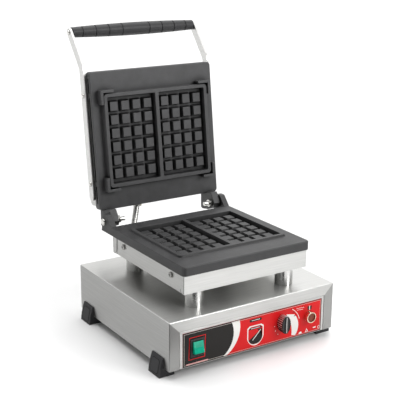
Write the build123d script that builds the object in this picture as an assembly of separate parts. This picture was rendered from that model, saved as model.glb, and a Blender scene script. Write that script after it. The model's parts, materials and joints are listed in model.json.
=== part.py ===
from build123d import *
from math import cos, radians, sin, tan
import os

# Double waffle maker for a counter, standing on its four rubber feet.
# X points right, Y points to the back and Z points up, in millimetres.
# The lid is drawn closed and then turned open about the hinge bolts.

# ---------------------------------------------------------------- driving sizes

# housing
base_width = 340.0
base_depth = 321.0
base_height = 85.5
sheet = 1.2
frame_strip = 19.8
fold_radius = 1.6
rear_flange = 12.0
fit_gap = 0.3

# feet
foot_height = 15.5
foot_length = 35.0
foot_inset = 17.0
foot_pad_height = 18.5
foot_spread = 9.3
foot_lip = 1.8
foot_inboard = 20.0

# control panel, places measured from the base's middle and its bottom
panel_thickness = 1.5
panel_recess = 0.4
panel_gap = 0.8
panel_flange = 22.0
label_width = 288.8
label_bottom = 1.0
label_height = 60.4
label_thickness = 0.3
switch_x = -117.0
switch_z = 32.3
knob_x = 56.0
knob_z = 35.5
lamp_x = 115.2
lamp_z = 34.3

# switch
bezel_width = 27.5
bezel_height = 30.5
bezel_proud = 2.5
bezel_lip = 1.0
switch_depth = 22.0
rocker_width = 18.5
rocker_length = 20.0
rocker_tilt = 15.0
rocker_rise = 8.0
rocker_depth = 3.0
rocker_room = 2.4
rocker_pin_radius = 1.5

# thermostat
knob_diameter = 36.0
knob_reach = 15.5
knob_gap = 1.0
knob_skirt = 3.0
knob_grip_width = 24.5
knob_dish = 2.0
knob_rib_width = 7.0
shaft_radius = 3.0
running_gap = 0.05
thermostat_size = 46.0
thermostat_depth = 26.0
probe_radius = 3.0
probe_length = 56.0
capillary_radius = 1.0

# pilot lamp
lamp_diameter = 19.8
lamp_reach = 10.0
lens_radius = 8.3
lamp_body_radius = 7.5
lamp_body_depth = 24.0

# columns
column_diameter = 32.0
column_wall = 1.5
column_height = 31.0
column_x = 93.9
column_front = 46.5
column_rear = 248.0
stud_radius = 6.0
stud_bore = 4.5
nut_across = 19.0
nut_height = 6.0

# tray under the lower plate
tray_width = 252.5
tray_height = 32.7
tray_front = 25.0
tray_rear = 270.0
tray_sheet = 1.0
tray_flange = 12.5
tray_flange_cut = 8.5
tray_screw_rows = (67.5, 231.3)
tray_screw_drop = 11.0
tray_screw_head = 5.0

# plates
plate_width = 259.5
plate_front = 21.0
plate_rear = 272.0
plate_thickness = 16.0
plate_corner = 7.0
plate_edge = 1.5
grid_width = 220.0
grid_length = 172.0
grid_centre = 151.0
grid_depth = 13.0
rim_wall = 6.0
rim_draft = 20.0
lower_rim_height = 3.8
divider = 7.0
cells_across = 4
cells_along = 6
pitch_across = 23.5
pitch_along = 24.8
stud_gap = 3.2
stud_drop = 4.6
stud_draft = 17.0
parting_gap = 0.3
boss_drop = 18.0
boss_length = 16.0
boss_width = 13.0

# hinge
hinge_y = 297.0
hinge_rise = 3.0
lid_open = 97.0
lug_width = 11.0
lug_gap = 0.5
lug_top = 15.0
bolt_radius = 4.0
bolt_head_across = 13.0
bolt_head_height = 4.5
bolt_tail = 10.0
nut_gap = 0.5
lid_lug_width = 13.5
lid_lug_radius = 12.0
lid_lug_heel = 15.5
lid_lug_rise = 38.0

# lid, measured from the hinge: along the lid, and up from it when closed
lid_rear = 18.0
lid_front = 272.8
lid_face = 13.7
groove_rise = 5.2
groove_height = 4.2
groove_depth = 2.6
groove_start = 30.0
groove_end = 262.0
groove_boss = 8.0
lip_reach = 26.0
lip_wall = 4.5
lip_gap = 2.5
lip_clear = 1.2
cover_width = 252.0
cover_rear = 24.0
cover_front = 266.0
cover_height = 28.0
cover_corner = 8.0
arm_outside = 270.8
arm_thickness = 4.5
arm_width = 15.5
arm_rise = 34.0
arm_end = 43.0
arm_bend = 280.5
grip_along = 344.7
grip_rise = 73.0
arm_screw_along = (67.0, 230.0)
arm_screw_radius = 3.0
arm_spacer_radius = 4.1
button_head_radius = 4.5
button_head_height = 2.6
rod_radius = 4.0
grip_end_radius = 9.3
grip_middle_radius = 12.2
grip_groove_places = (29.0, 57.0, 84.0, 111.0)
grip_groove_width = 2.6
grip_groove_depth = 1.4

# heating
element_radius = 4.0
element_bend = 22.0
element_half_width = 70.0
element_half_length = 62.0
clamp_sheet = 1.5
clamp_stud_spacing = 90.0
clamp_stud_radius = 7.0
insulation_height = 10.0

# hose and cable
hose_radius = 5.8
hose_base_x = -69.0
hose_base_y = 297.0
hose_lid_x = -34.5
hose_lid_rise = 45.0
gland_height = 14.0
gland_across = 20.0
cable_gland_x = 110.0
cable_gland_z = 30.0
cable_gland_reach = 20.0
cable_bore = 4.5

# ---------------------------------------------------------------- worked-out places

open_turn = radians(lid_open)
grip_back = hinge_y - grip_along * cos(open_turn) + grip_rise * sin(open_turn) + grip_middle_radius
front_y = (knob_reach - grip_back) / 2
back_y = front_y + base_depth
half = base_width / 2
floor_z = foot_height
top_z = floor_z + base_height
tray_z = top_z + column_height
plate_z = tray_z + tray_height
face_z = plate_z + plate_thickness
axis_y = front_y + hinge_y
axis_z = face_z + hinge_rise
hinge_axis = Axis((0, axis_y, axis_z), (1, 0, 0))
grid_y = front_y + grid_centre
grid_along = hinge_y - grid_centre
lower_rim_top = lower_rim_height - hinge_rise
upper_rim_height = lid_face - lower_rim_top - parting_gap
lid_back = lid_face + plate_thickness
panel_front = front_y + panel_recess
panel_back = panel_front + panel_thickness
arm_inside = arm_outside / 2 - arm_thickness
column_places = [
    (side * column_x, front_y + row)
    for row in (column_front, column_rear)
    for side in (-1, 1)
]


# ---------------------------------------------------------------- shapes used often

def block(x0, x1, y0, y1, z0, z1):
    """A box between two corners."""
    middle = ((x0 + x1) / 2, (y0 + y1) / 2, (z0 + z1) / 2)
    return Pos(*middle) * Box(abs(x1 - x0), abs(y1 - y0), abs(z1 - z0))


def rod_x(x0, x1, y, z, radius):
    """A cylinder along X."""
    return Pos((x0 + x1) / 2, y, z) * Rot(0, 90, 0) * Cylinder(radius, abs(x1 - x0))


def rod_y(x, y0, y1, z, radius):
    """A cylinder along Y."""
    return Pos(x, (y0 + y1) / 2, z) * Rot(90, 0, 0) * Cylinder(radius, abs(y1 - y0))


def rod_z(x, y, z0, z1, radius):
    """A cylinder along Z."""
    return Pos(x, y, (z0 + z1) / 2) * Cylinder(radius, abs(z1 - z0))


def hexagon(across, height):
    """A hexagonal prism on XY, from z = 0 upwards."""
    return extrude(RegularPolygon(across / 2, 6, major_radius=False), height)


def hex_x(x0, x1, y, z, across):
    """A hexagonal prism along X."""
    low, high = sorted((x0, x1))
    return Pos(low, y, z) * Rot(0, 90, 0) * hexagon(across, high - low)


def profile_x(points, x0, x1):
    """A closed outline of (y, z) points, extruded from x0 to x1."""
    low, high = sorted((x0, x1))
    outline = make_face(Polyline(*points, close=True))
    return Pos(low, 0, 0) * extrude(Plane.YZ * outline, high - low)


def tube_along(points, radii, radius, bore=0.0):
    """A round bar or tube along straight runs joined by arcs."""
    path = FilletPolyline(*points, radius=radii)
    start = Plane(origin=path @ 0, z_dir=path % 0)
    section = Circle(radius)
    if bore > 0:
        section -= Circle(bore)
    return sweep(start * section, path=path)


def together(pieces):
    """Several like solids in one node."""
    return Compound(children=[solid for piece in pieces for solid in piece.solids()])


def on_lid(x, along, rise):
    """A place on the closed lid, from its distances from the hinge."""
    return (x, axis_y - along, axis_z + rise)


def open_place(x, along, rise):
    """A place on the open lid, from the same distances."""
    y = axis_y - along * cos(open_turn) + rise * sin(open_turn)
    z = axis_z + along * sin(open_turn) + rise * cos(open_turn)
    return Vector(x, y, z)


def opened(piece):
    """Turns a piece of the closed lid to where it stands open."""
    return piece.rotate(hinge_axis, -lid_open)


def lid_block(x0, x1, along0, along1, rise0, rise1):
    """A box on the closed lid."""
    return block(x0, x1, axis_y - along1, axis_y - along0, axis_z + rise0, axis_z + rise1)


# ---------------------------------------------------------------- housing

def housing_shell():
    """Folded wrapper: top, two sides, front frame and rear flanges."""
    body = block(-half, half, front_y, back_y, floor_z, top_z)
    outer_edges = body.edges().filter_by(Axis.Z) + body.edges().group_by(Axis.Z)[-1]
    body = fillet(outer_edges, fold_radius)
    body -= block(-half + sheet, half - sheet, front_y + sheet, back_y - sheet, 0, top_z - sheet)
    opening = half - frame_strip
    body -= block(-opening, opening, front_y - 1, front_y + 2 * sheet, 0, top_z - frame_strip)
    gate = half - rear_flange
    body -= block(-gate, gate, back_y - 2 * sheet, back_y + 1, 0, top_z - rear_flange)
    for x, y in column_places:
        body -= rod_z(x, y, top_z - 5, top_z + 5, stud_radius + fit_gap)
    body -= rod_z(hose_base_x, front_y + hose_base_y, top_z - 5, top_z + 5, hose_radius + fit_gap)
    for x, y in panel_screw_places():
        body -= rod_y(x, back_y - 5, back_y + 5, y, 2.0)
    return body


def panel_screw_places():
    """Where the back panel's screws go through the rear flanges, as (x, z)."""
    x = half - rear_flange / 2
    return [(side * x, floor_z + z) for side in (-1, 1) for z in (18.0, base_height - 18.0)]


def base_plate():
    """Bottom sheet with vent slots."""
    edge = half - sheet - fit_gap
    plate = block(-edge, edge, panel_back + fit_gap, back_y - sheet - fit_gap, floor_z, floor_z + sheet)
    for row in range(5):
        y = front_y + 110 + 22 * row
        for x in (-60, 60):
            plate -= block(x - 30, x + 30, y - 2.5, y + 2.5, floor_z - 1, floor_z + 3)
    for x, y in foot_places():
        plate -= rod_z(x - foot_screw_side(x), y, floor_z - 1, floor_z + 3, foot_screw_radius)
    return plate


def back_panel():
    """Rear sheet with vent slots and the cable's hole."""
    edge = half - sheet - fit_gap
    low = floor_z + sheet + fit_gap
    high = top_z - sheet - fit_gap
    face = back_y - sheet
    panel = block(-edge, edge, face - sheet, face, low, high)
    for row in range(4):
        z = floor_z + 28 + 10 * row
        for x in (-80, 0):
            panel -= block(x - 26, x + 26, face - 3, face + 1, z - 2, z + 2)
    panel -= rod_y(cable_gland_x, face - 5, face + 5, floor_z + cable_gland_z, 8.0)
    for x, z in panel_screw_places():
        panel -= rod_y(x, face - 5, face + 5, z, 2.0)
    return panel


def back_panel_screws():
    """Four pan-head screws through the rear flanges."""
    screws = []
    for x, z in panel_screw_places():
        screw = rod_y(x, back_y - 8, back_y, z, 2.0)
        screw += rod_y(x, back_y, back_y + 2, z, 3.8)
        screws.append(screw)
    return together(screws)


# ---------------------------------------------------------------- feet

foot_screw_radius = 2.5


def foot_places():
    """Outer face of the housing and middle of each foot, as (x, y)."""
    near = front_y + foot_inset + foot_length / 2
    far = back_y - foot_inset - foot_length / 2
    return [(side * half, y) for y in (near, far) for side in (-1, 1)]


def foot_screw_side(x):
    """How far inboard of the housing's side a foot's screw stands."""
    return 11.0 if x > 0 else -11.0


def foot(x, y):
    """Moulded corner foot: a flared pad on the side and a block below."""
    pad_top = (half + foot_lip, floor_z + foot_pad_height)
    toe = (half + foot_spread, 0)
    belly = (half + foot_lip + 0.72 * (foot_spread - foot_lip), floor_z)
    outline = Curve() + [
        Line((half, floor_z + foot_pad_height), pad_top),
        ThreePointArc(pad_top, belly, toe),
        Line(toe, (half - foot_inboard, 0)),
        Line((half - foot_inboard, 0), (half - foot_inboard, floor_z)),
        Line((half - foot_inboard, floor_z), (half, floor_z)),
        Line((half, floor_z), (half, floor_z + foot_pad_height)),
    ]
    shape = extrude(Plane.XZ * make_face(outline), foot_length)
    shape = Pos(0, foot_length / 2, 0) * shape
    screw_x = half - foot_screw_side(1)
    shape -= rod_z(screw_x, 0, -1, 5, 5.0)
    shape -= rod_z(screw_x, 0, 4, foot_height + 1, foot_screw_radius)
    if x < 0:
        shape = mirror(shape, about=Plane.YZ)
    return Pos(0, y, 0) * shape


def foot_screws():
    """Pan-head screws that come up through the feet into the base plate."""
    screws = []
    for x, y in foot_places():
        place = x - foot_screw_side(x)
        screw = rod_z(place, y, 2.0, 5.0, 4.6)
        screw += rod_z(place, y, 5.0, floor_z + 9, foot_screw_radius)
        screws.append(screw)
    return together(screws)


def foot_nuts():
    """Nuts on the foot screws, on the base plate."""
    nuts = []
    for x, y in foot_places():
        place = x - foot_screw_side(x)
        nut = Pos(place, y, floor_z + sheet) * hexagon(8.0, 4.0)
        nut -= rod_z(place, y, floor_z, floor_z + 9, foot_screw_radius)
        nuts.append(nut)
    return together(nuts)


# ---------------------------------------------------------------- control panel

def panel_cuts(y0, y1):
    """Openings for the switch, the thermostat's shaft and the lamp."""
    body_width = bezel_width - 2 * bezel_lip
    body_height = bezel_height - 2 * bezel_lip
    cuts = block(
        switch_x - body_width / 2, switch_x + body_width / 2, y0, y1,
        floor_z + switch_z - body_height / 2, floor_z + switch_z + body_height / 2,
    )
    cuts += rod_y(knob_x, y0, y1, floor_z + knob_z, shaft_radius + 1.0)
    cuts += rod_y(lamp_x, y0, y1, floor_z + lamp_z, lamp_body_radius)
    return cuts


def control_panel():
    """Front plate in the frame, with a flange on the base plate."""
    edge = half - frame_strip - panel_gap
    high = top_z - frame_strip - panel_gap
    low = floor_z + sheet
    panel = block(-edge, edge, panel_front, panel_back, floor_z, high)
    panel += block(-edge, edge, panel_back, panel_back + panel_flange, low, low + panel_thickness)
    for x, y in foot_places()[:2]:
        place = x - foot_screw_side(x)
        panel -= rod_z(place, y, low - 1, low + 9, 6.0)
        panel -= block(place - 6, place + 6, y, y + 20, low - 0.5, low + 9)
    return panel - panel_cuts(front_y - 5, panel_back + 5)


def panel_label():
    """Printed film on the panel."""
    side = label_width / 2
    low = floor_z + label_bottom
    film = block(-side, side, panel_front - label_thickness, panel_front, low, low + label_height)
    return film - panel_cuts(front_y - 5, panel_back + 5)


# ---------------------------------------------------------------- power switch

switch_face = panel_front - label_thickness
rocker_pivot_y = switch_face - bezel_proud + rocker_depth
rocker_pivot_z = floor_z + switch_z
rocker_axis = Axis((switch_x, rocker_pivot_y, rocker_pivot_z), (1, 0, 0))


def switch_window():
    """Space inside the switch's frame, for the rocker."""
    half_width = rocker_width / 2 + fit_gap
    half_height = rocker_length / 2 + rocker_room
    return block(
        switch_x - half_width, switch_x + half_width,
        switch_face - bezel_proud - 5, rocker_pivot_y + 8,
        rocker_pivot_z - half_height, rocker_pivot_z + half_height,
    )


def power_switch_body():
    """Snap-in body with its frame, on the panel."""
    body_width = bezel_width - 2 * bezel_lip
    body_height = bezel_height - 2 * bezel_lip
    frame = block(
        switch_x - bezel_width / 2, switch_x + bezel_width / 2,
        switch_face - bezel_proud, switch_face,
        rocker_pivot_z - bezel_height / 2, rocker_pivot_z + bezel_height / 2,
    )
    frame = chamfer(frame.faces().sort_by(Axis.Y)[0].edges(), 0.8)
    body = block(
        switch_x - body_width / 2, switch_x + body_width / 2, switch_face, switch_face + switch_depth,
        rocker_pivot_z - body_height / 2, rocker_pivot_z + body_height / 2,
    )
    pin_hole = rod_x(
        switch_x - rocker_width / 2 - 0.9, switch_x + rocker_width / 2 + 0.9,
        rocker_pivot_y, rocker_pivot_z, rocker_pin_radius + running_gap,
    )
    body = frame + body - switch_window() - pin_hole
    for x in (-7, 7):
        for z in (-8, 8):
            tab_y = switch_face + switch_depth
            body += block(
                switch_x + x - 0.4, switch_x + x + 0.4, tab_y, tab_y + 8,
                rocker_pivot_z + z - 3, rocker_pivot_z + z + 3,
            )
    return body


def power_switch_rocker():
    """Rocker on two short pins, its lower end out."""
    y, z = rocker_pivot_y, rocker_pivot_z
    end = rocker_length / 2
    outline = [
        (y - rocker_rise, z - end), (y - rocker_rise + 0.6, z), (y - rocker_rise, z + end),
        (y, z + end), (y + 4, z + 4), (y + 4, z - 4), (y, z - end),
    ]
    rocker = profile_x(outline, switch_x - rocker_width / 2, switch_x + rocker_width / 2)
    pin_end = rocker_width / 2 + 0.7
    rocker += rod_x(switch_x - pin_end, switch_x + pin_end, y, z, rocker_pin_radius)
    return rocker.rotate(rocker_axis, -rocker_tilt)


# ---------------------------------------------------------------- thermostat

knob_front = front_y - knob_reach
knob_back = switch_face - knob_gap
knob_height_z = floor_z + knob_z


def thermostat_knob():
    """Knob with a round skirt and a wide grip with a rib across its front."""
    radius = knob_diameter / 2
    grip_back = knob_back - knob_skirt
    knob = rod_y(knob_x, grip_back, knob_back, knob_height_z, radius - 1.5)
    slab = block(
        knob_x - knob_grip_width / 2, knob_x + knob_grip_width / 2, knob_front, grip_back,
        knob_height_z - radius, knob_height_z + radius,
    )
    grip = slab & rod_y(knob_x, knob_front, grip_back, knob_height_z, radius)
    grip = chamfer(grip.faces().sort_by(Axis.Y)[0].edges(), 1.4)
    for side in (-1, 1):
        near = knob_x + side * knob_rib_width / 2
        far = knob_x + side * (knob_grip_width / 2 + 1)
        cut = block(
            near, far, knob_front - 1, knob_front + knob_dish,
            knob_height_z - radius - 1, knob_height_z + radius + 1,
        )
        grip -= cut
    knob += grip
    socket = (knob_back - knob_front) * 0.7
    knob -= rod_y(knob_x, knob_back - socket, knob_back + 1, knob_height_z, shaft_radius)
    return knob


def thermostat_shaft():
    """Shaft from the knob into the thermostat."""
    socket = (knob_back - knob_front) * 0.7
    return rod_y(knob_x, knob_back - socket, panel_back + 14, knob_height_z, shaft_radius)


def thermostat_body():
    """Thermostat bolted behind the panel."""
    size = thermostat_size / 2
    box = block(
        knob_x - size, knob_x + size, panel_back + 4, panel_back + 4 + thermostat_depth,
        knob_height_z - size + 5, knob_height_z + size - 5,
    )
    box += rod_y(knob_x, panel_back, panel_back + 4, knob_height_z, 8.0)
    bore = shaft_radius + running_gap
    box -= rod_y(knob_x, panel_back - 1, panel_back + 14.5, knob_height_z, bore)
    return box


def thermostat_probe():
    """Capillary tube up through a column, and its bulb under the plate."""
    x = column_x
    y = front_y + column_front
    bulb_z = plate_z - probe_radius - 0.2
    start_y = panel_back + 4 + thermostat_depth
    start_z = knob_height_z
    points = [
        (knob_x + 10, start_y, start_z),
        (knob_x + 10, start_y + 12, start_z),
        (x - 10, y + 4, start_z + 14),
        (x, y, top_z - 12),
        (x, y, plate_z - 18),
        (x - 6, y + 14, bulb_z),
        (x - 6, y + 34, bulb_z),
    ]
    tube = tube_along(points, 5.0, capillary_radius)
    return tube + rod_y(x - 6, y + 34, y + 34 + probe_length, bulb_z, probe_radius)


# ---------------------------------------------------------------- pilot lamp

lamp_front = front_y - lamp_reach
lamp_height_z = floor_z + lamp_z


def pilot_lamp_bezel():
    """Round plated bezel round the lens."""
    ring = rod_y(lamp_x, lamp_front, switch_face, lamp_height_z, lamp_diameter / 2)
    ring = fillet(ring.edges().sort_by(Axis.Y)[0], 0.5)
    return ring - rod_y(lamp_x, lamp_front - 1, switch_face + 1, lamp_height_z, lens_radius)


def pilot_lamp_lens():
    """Domed lens in the bezel."""
    lens = rod_y(lamp_x, lamp_front + 2.0, switch_face, lamp_height_z, lens_radius)
    return fillet(lens.edges().sort_by(Axis.Y)[0], 1.2)


def pilot_lamp_body():
    """Lamp's body behind the lens, through the panel."""
    body = rod_y(lamp_x, switch_face, switch_face + lamp_body_depth, lamp_height_z, lamp_body_radius)
    nut = Pos(lamp_x, panel_back, lamp_height_z) * Rot(-90, 0, 0) * hexagon(20.0, 4.0)
    return body + nut


# ---------------------------------------------------------------- columns

def column(x, y):
    """Polished tube between the housing and the tray."""
    radius = column_diameter / 2
    return rod_z(x, y, top_z, tray_z, radius) - rod_z(x, y, top_z, tray_z, radius - column_wall)


def column_studs():
    """Hollow threaded tubes that clamp the columns and carry the wires."""
    studs = []
    for x, y in column_places:
        low = top_z - sheet - nut_height - 2
        high = tray_z + tray_sheet + nut_height + 1.5
        studs.append(rod_z(x, y, low, high, stud_radius) - rod_z(x, y, low, high, stud_bore))
    return together(studs)


def column_nuts():
    """Nuts on both ends of the column studs."""
    nuts = []
    for x, y in column_places:
        for z in (top_z - sheet - nut_height, tray_z + tray_sheet):
            nut = Pos(x, y, z) * hexagon(nut_across, nut_height)
            nuts.append(nut - rod_z(x, y, z - 1, z + nut_height + 1, stud_radius))
    return together(nuts)


# ---------------------------------------------------------------- tray

tray_half = tray_width / 2 - tray_sheet
tray_y0 = front_y + tray_front
tray_y1 = front_y + tray_rear
tray_screw_z = plate_z - tray_screw_drop


def lower_tray():
    """Bottom and two sides of the tray, folded from one sheet."""
    y0 = tray_y0 + tray_sheet
    y1 = tray_y1 - tray_sheet
    inside = tray_half - tray_sheet
    tray = block(-tray_half, tray_half, y0, y1, tray_z, plate_z)
    tray -= block(-inside, inside, y0 - 1, y1 + 1, tray_z + tray_sheet, plate_z + 1)
    for x, y in column_places:
        tray -= rod_z(x, y, tray_z - 1, tray_z + 3, stud_radius + fit_gap)
    for row in tray_screw_rows:
        tray -= rod_x(-half, half, front_y + row, tray_screw_z, tray_screw_head / 2)
    return tray


def tray_end_sheet(y_out, inward):
    """Sheet that closes one end of the tray and wraps round its corners."""
    side = tray_width / 2
    skin = y_out + inward * tray_sheet
    tip = y_out + inward * tray_flange
    sheet_end = block(-side, side, min(y_out, skin), max(y_out, skin), tray_z, plate_z)
    outline = [
        (skin, tray_z), (tip - inward * tray_flange_cut * 0.8, tray_z),
        (tip, tray_z + tray_flange_cut), (tip, plate_z), (skin, plate_z),
    ]
    for x0, x1 in ((-side, -side + tray_sheet), (side - tray_sheet, side)):
        sheet_end += profile_x(outline, x0, x1)
    return sheet_end


def tray_screws():
    """Pan-head screws through the tray's sides into the plate."""
    screws = []
    for row in tray_screw_rows:
        y = front_y + row
        for side in (-1, 1):
            shank = rod_x(side * (tray_half - 10), side * tray_half, y, tray_screw_z, tray_screw_head / 2)
            head = rod_x(side * tray_half, side * (tray_half + 3.4), y, tray_screw_z, tray_screw_head)
            rim = head.faces().sort_by(Axis.X)[-1 if side > 0 else 0].edges()
            screws.append(shank + fillet(rim, 2.0))
    return together(screws)


# ---------------------------------------------------------------- waffle grid

def grid_rim(height):
    """Raised wall round both fields, standing on z = 0."""
    spread = height * tan(radians(rim_draft)) if height < 8 else height * tan(radians(rim_draft / 4))
    draft = rim_draft if height < 8 else rim_draft / 4
    foot_width = grid_width + 2 * spread
    foot_length_y = grid_length + 2 * spread
    return extrude(RectangleRounded(foot_width, foot_length_y, 6.0 + spread), height, taper=draft)


def field_places():
    """Middles of the two fields in X."""
    width = (grid_width - 2 * rim_wall - divider) / 2
    return [side * (width + divider) / 2 for side in (-1, 1)], width


def grid_pockets(height):
    """The two fields, cut from the rim's top down to the channels."""
    places, width = field_places()
    length = grid_length - 2 * rim_wall
    pockets = Part()
    for x in places:
        mouth = Pos(x, 0, height) * RectangleRounded(width, length, 3.0)
        pockets += extrude(mouth, -grid_depth, taper=8.0)
    return pockets


def grid_studs(height):
    """Blunt pyramids that shape the waffle's cells."""
    floor = height - grid_depth
    rise = grid_depth - stud_drop
    foot_across = pitch_across - stud_gap
    foot_along = pitch_along - stud_gap
    places, _ = field_places()
    studs = []
    for middle in places:
        for column_number in range(cells_across):
            x = middle + (column_number - (cells_across - 1) / 2) * pitch_across
            for row_number in range(cells_along):
                y = (row_number - (cells_along - 1) / 2) * pitch_along
                seat = Pos(x, y, floor) * RectangleRounded(foot_across, foot_along, 1.5)
                studs.append(extrude(seat, rise, taper=stud_draft))
    return studs


def waffle_slab(y0, y1, middle, rim_height):
    """Cast slab from -plate_thickness to 0, with the grid on its upper face."""
    outline = Pos(0, (y0 + y1) / 2) * RectangleRounded(plate_width, y1 - y0, plate_corner)
    slab = extrude(outline, -plate_thickness)
    slab = chamfer(slab.faces().sort_by(Axis.Z)[-1].edges(), plate_edge)
    slab += Pos(0, middle, 0) * grid_rim(rim_height)
    slab -= Pos(0, middle, 0) * grid_pockets(rim_height)
    slab += [Pos(0, middle, 0) * stud for stud in grid_studs(rim_height)]
    return slab


# ---------------------------------------------------------------- lower plate

def lower_lug(side):
    """Hinge lug at one rear corner of the lower plate."""
    y, z = axis_y, axis_z
    low = plate_z
    outline = [
        (front_y + plate_rear - 20, low), (y + 12, low), (y + 8.2, z - 6.5), (y + 4.5, z + lug_top - 2),
        (y + 2.5, z + lug_top), (y - 9, z + lug_top), (y - 11, z + lug_top - 2),
        (front_y + plate_rear - 1, face_z - 0.6), (front_y + plate_rear - 20, face_z - 2.0),
    ]
    outside = side * plate_width / 2
    return profile_x(outline, outside, outside - side * lug_width)


def lower_plate():
    """Cast lower plate with its grid, lugs and fixing bosses."""
    plate = waffle_slab(front_y + plate_front, front_y + plate_rear, grid_y, lower_rim_height)
    plate = Pos(0, 0, face_z) * plate
    for side in (-1, 1):
        lug = lower_lug(side)
        plate += lug
        for row in tray_screw_rows:
            y = front_y + row
            near = side * (tray_half - tray_sheet - fit_gap)
            plate += block(
                near - side * boss_width, near, y - boss_length / 2, y + boss_length / 2,
                plate_z - boss_drop, plate_z + 0.5,
            )
            plate -= rod_x(near - side * 9, near + side, y, tray_screw_z, tray_screw_head / 2)
    plate -= rod_x(-half, half, axis_y, axis_z, bolt_radius)
    for y in clamp_places(grid_y):
        plate += rod_z(0, y, plate_z - 2 * element_radius - 0.4, plate_z + 0.5, clamp_stud_radius)
        plate -= rod_z(0, y, plate_z - 20, plate_z - 1, 2.5)
    return plate


# ---------------------------------------------------------------- heating

def clamp_places(middle):
    """Where the clamp sheet is screwed to the plate."""
    return [middle - clamp_stud_spacing / 2, middle + clamp_stud_spacing / 2]


def heating_loop(middle_y, z):
    """Tubular element bent twice across the plate."""
    side = element_half_width
    length = element_half_length
    inner = element_bend + 2
    points = [
        (-side, middle_y + length + 24, z), (-side, middle_y - length, z), (-inner, middle_y - length, z),
        (-inner, middle_y + length, z), (inner, middle_y + length, z), (inner, middle_y - length, z),
        (side, middle_y - length, z), (side, middle_y + length + 24, z),
    ]
    return tube_along(points, element_bend - 1, element_radius)


def clamp_sheet_piece(middle_y, z):
    """Sheet that presses the element to the plate, lying up to z."""
    reach = element_half_width + 14
    piece = block(-reach, reach, middle_y - 68, middle_y + 68, z - clamp_sheet, z)
    for y in clamp_places(middle_y):
        piece -= rod_z(0, y, z - 5, z + 5, 2.5)
    return piece


def clamp_screws(middle_y, z):
    """Two screws that hold the clamp sheet, heads below z."""
    screws = []
    for y in clamp_places(middle_y):
        screw = rod_z(0, y, z - clamp_sheet - 3, z - clamp_sheet, 4.5)
        screw += rod_z(0, y, z - clamp_sheet, z + 2 * element_radius - 1.5, 2.5)
        screws.append(screw)
    return together(screws)


element_z = plate_z - element_radius - 0.2
clamp_z = plate_z - 2 * element_radius - 0.4


def lower_insulation():
    """Mineral wool on the tray's floor."""
    low = tray_z + tray_sheet
    return block(-74, 74, grid_y - 80, grid_y + 80, low, low + insulation_height)


# ---------------------------------------------------------------- hinge

def hinge_bolts():
    """Bolts from outside through both lugs."""
    bolts = []
    for side in (-1, 1):
        outside = side * plate_width / 2
        lugs = lug_width + lug_gap + lid_lug_width
        inside = outside - side * (lugs + nut_gap + nut_height + bolt_tail)
        bolt = rod_x(inside, outside, axis_y, axis_z, bolt_radius)
        head = rod_x(outside, outside + side * bolt_head_height, axis_y, axis_z, bolt_head_across / 2)
        rim = head.faces().sort_by(Axis.X)[-1 if side > 0 else 0].edges()
        bolts.append(bolt + fillet(rim, 2.2))
    return together(bolts)


def hinge_nuts():
    """Lock nuts on the inner ends of the hinge bolts."""
    nuts = []
    for side in (-1, 1):
        near = side * (plate_width / 2 - lug_width - lug_gap - lid_lug_width - nut_gap)
        far = near - side * nut_height
        nut = hex_x(near, far, axis_y, axis_z, bolt_head_across)
        nuts.append(nut - rod_x(near + side, far - side, axis_y, axis_z, bolt_radius))
    return together(nuts)


# ---------------------------------------------------------------- upper plate

def upper_lug(side):
    """Hinge lug of the upper plate, just inside the lower plate's lug."""
    y, z = axis_y, axis_z
    outside = side * (plate_width / 2 - lug_width - lug_gap)
    inside = outside - side * lid_lug_width
    radius = lid_lug_radius
    heel = lid_lug_heel
    low = z + lid_face + 3
    high = z + lid_back - 2
    outline = [
        (y - lid_rear - 2.5, z - 2), (y - radius * 0.7, z - radius * 0.72), (y, z - radius),
        (y + radius * 0.7, z - radius * 0.72), (y + heel - 1, z + 12), (y + heel, z + lid_lug_rise - 4),
        (y + heel - 3, z + lid_lug_rise), (y - lid_rear + 2, z + lid_lug_rise - 3),
        (y - lid_rear - 0.5, z + lid_lug_rise - 5), (y - lid_rear - 0.5, high), (y - lid_rear - 12, high),
        (y - lid_rear - 12, low), (y - lid_rear - 2.5, low),
    ]
    lug = profile_x(outline, outside, inside)
    hole = rod_x(outside, inside, y, z, bolt_radius + running_gap)
    return lug, hole


def locating_lips():
    """Four L-shaped lips round the rim's corners, hanging from the face."""
    drop = lid_face + hinge_rise - lip_clear
    width = grid_width / 2 + lip_gap
    length = grid_length / 2 + lip_gap
    lips = []
    for sx in (-1, 1):
        for sy in (-1, 1):
            corner_x = sx * (width + lip_wall)
            corner_y = grid_y + sy * (length + lip_wall)
            z1 = axis_z + lid_face + 0.5
            z0 = axis_z + lid_face - drop
            run_x = block(corner_x, corner_x - sx * lip_reach, corner_y, corner_y - sy * lip_wall, z0, z1)
            run_y = block(corner_x, corner_x - sx * lip_wall, corner_y, corner_y - sy * lip_reach, z0, z1)
            lips.append(run_x + run_y)
    return lips


def side_grooves():
    """Grooves along the plate's two sides, left solid at the arm screws."""
    stops = [groove_start]
    for along in arm_screw_along:
        stops += [along - groove_boss / 2, along + groove_boss / 2]
    stops.append(groove_end)
    low = lid_face + groove_rise
    cuts = []
    for side in (-1, 1):
        edge = side * plate_width / 2
        for number in range(0, len(stops), 2):
            cuts.append(lid_block(
                min(edge - side * groove_depth, edge + side), max(edge - side * groove_depth, edge + side),
                stops[number], stops[number + 1], low, low + groove_height,
            ))
    return cuts


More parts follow.
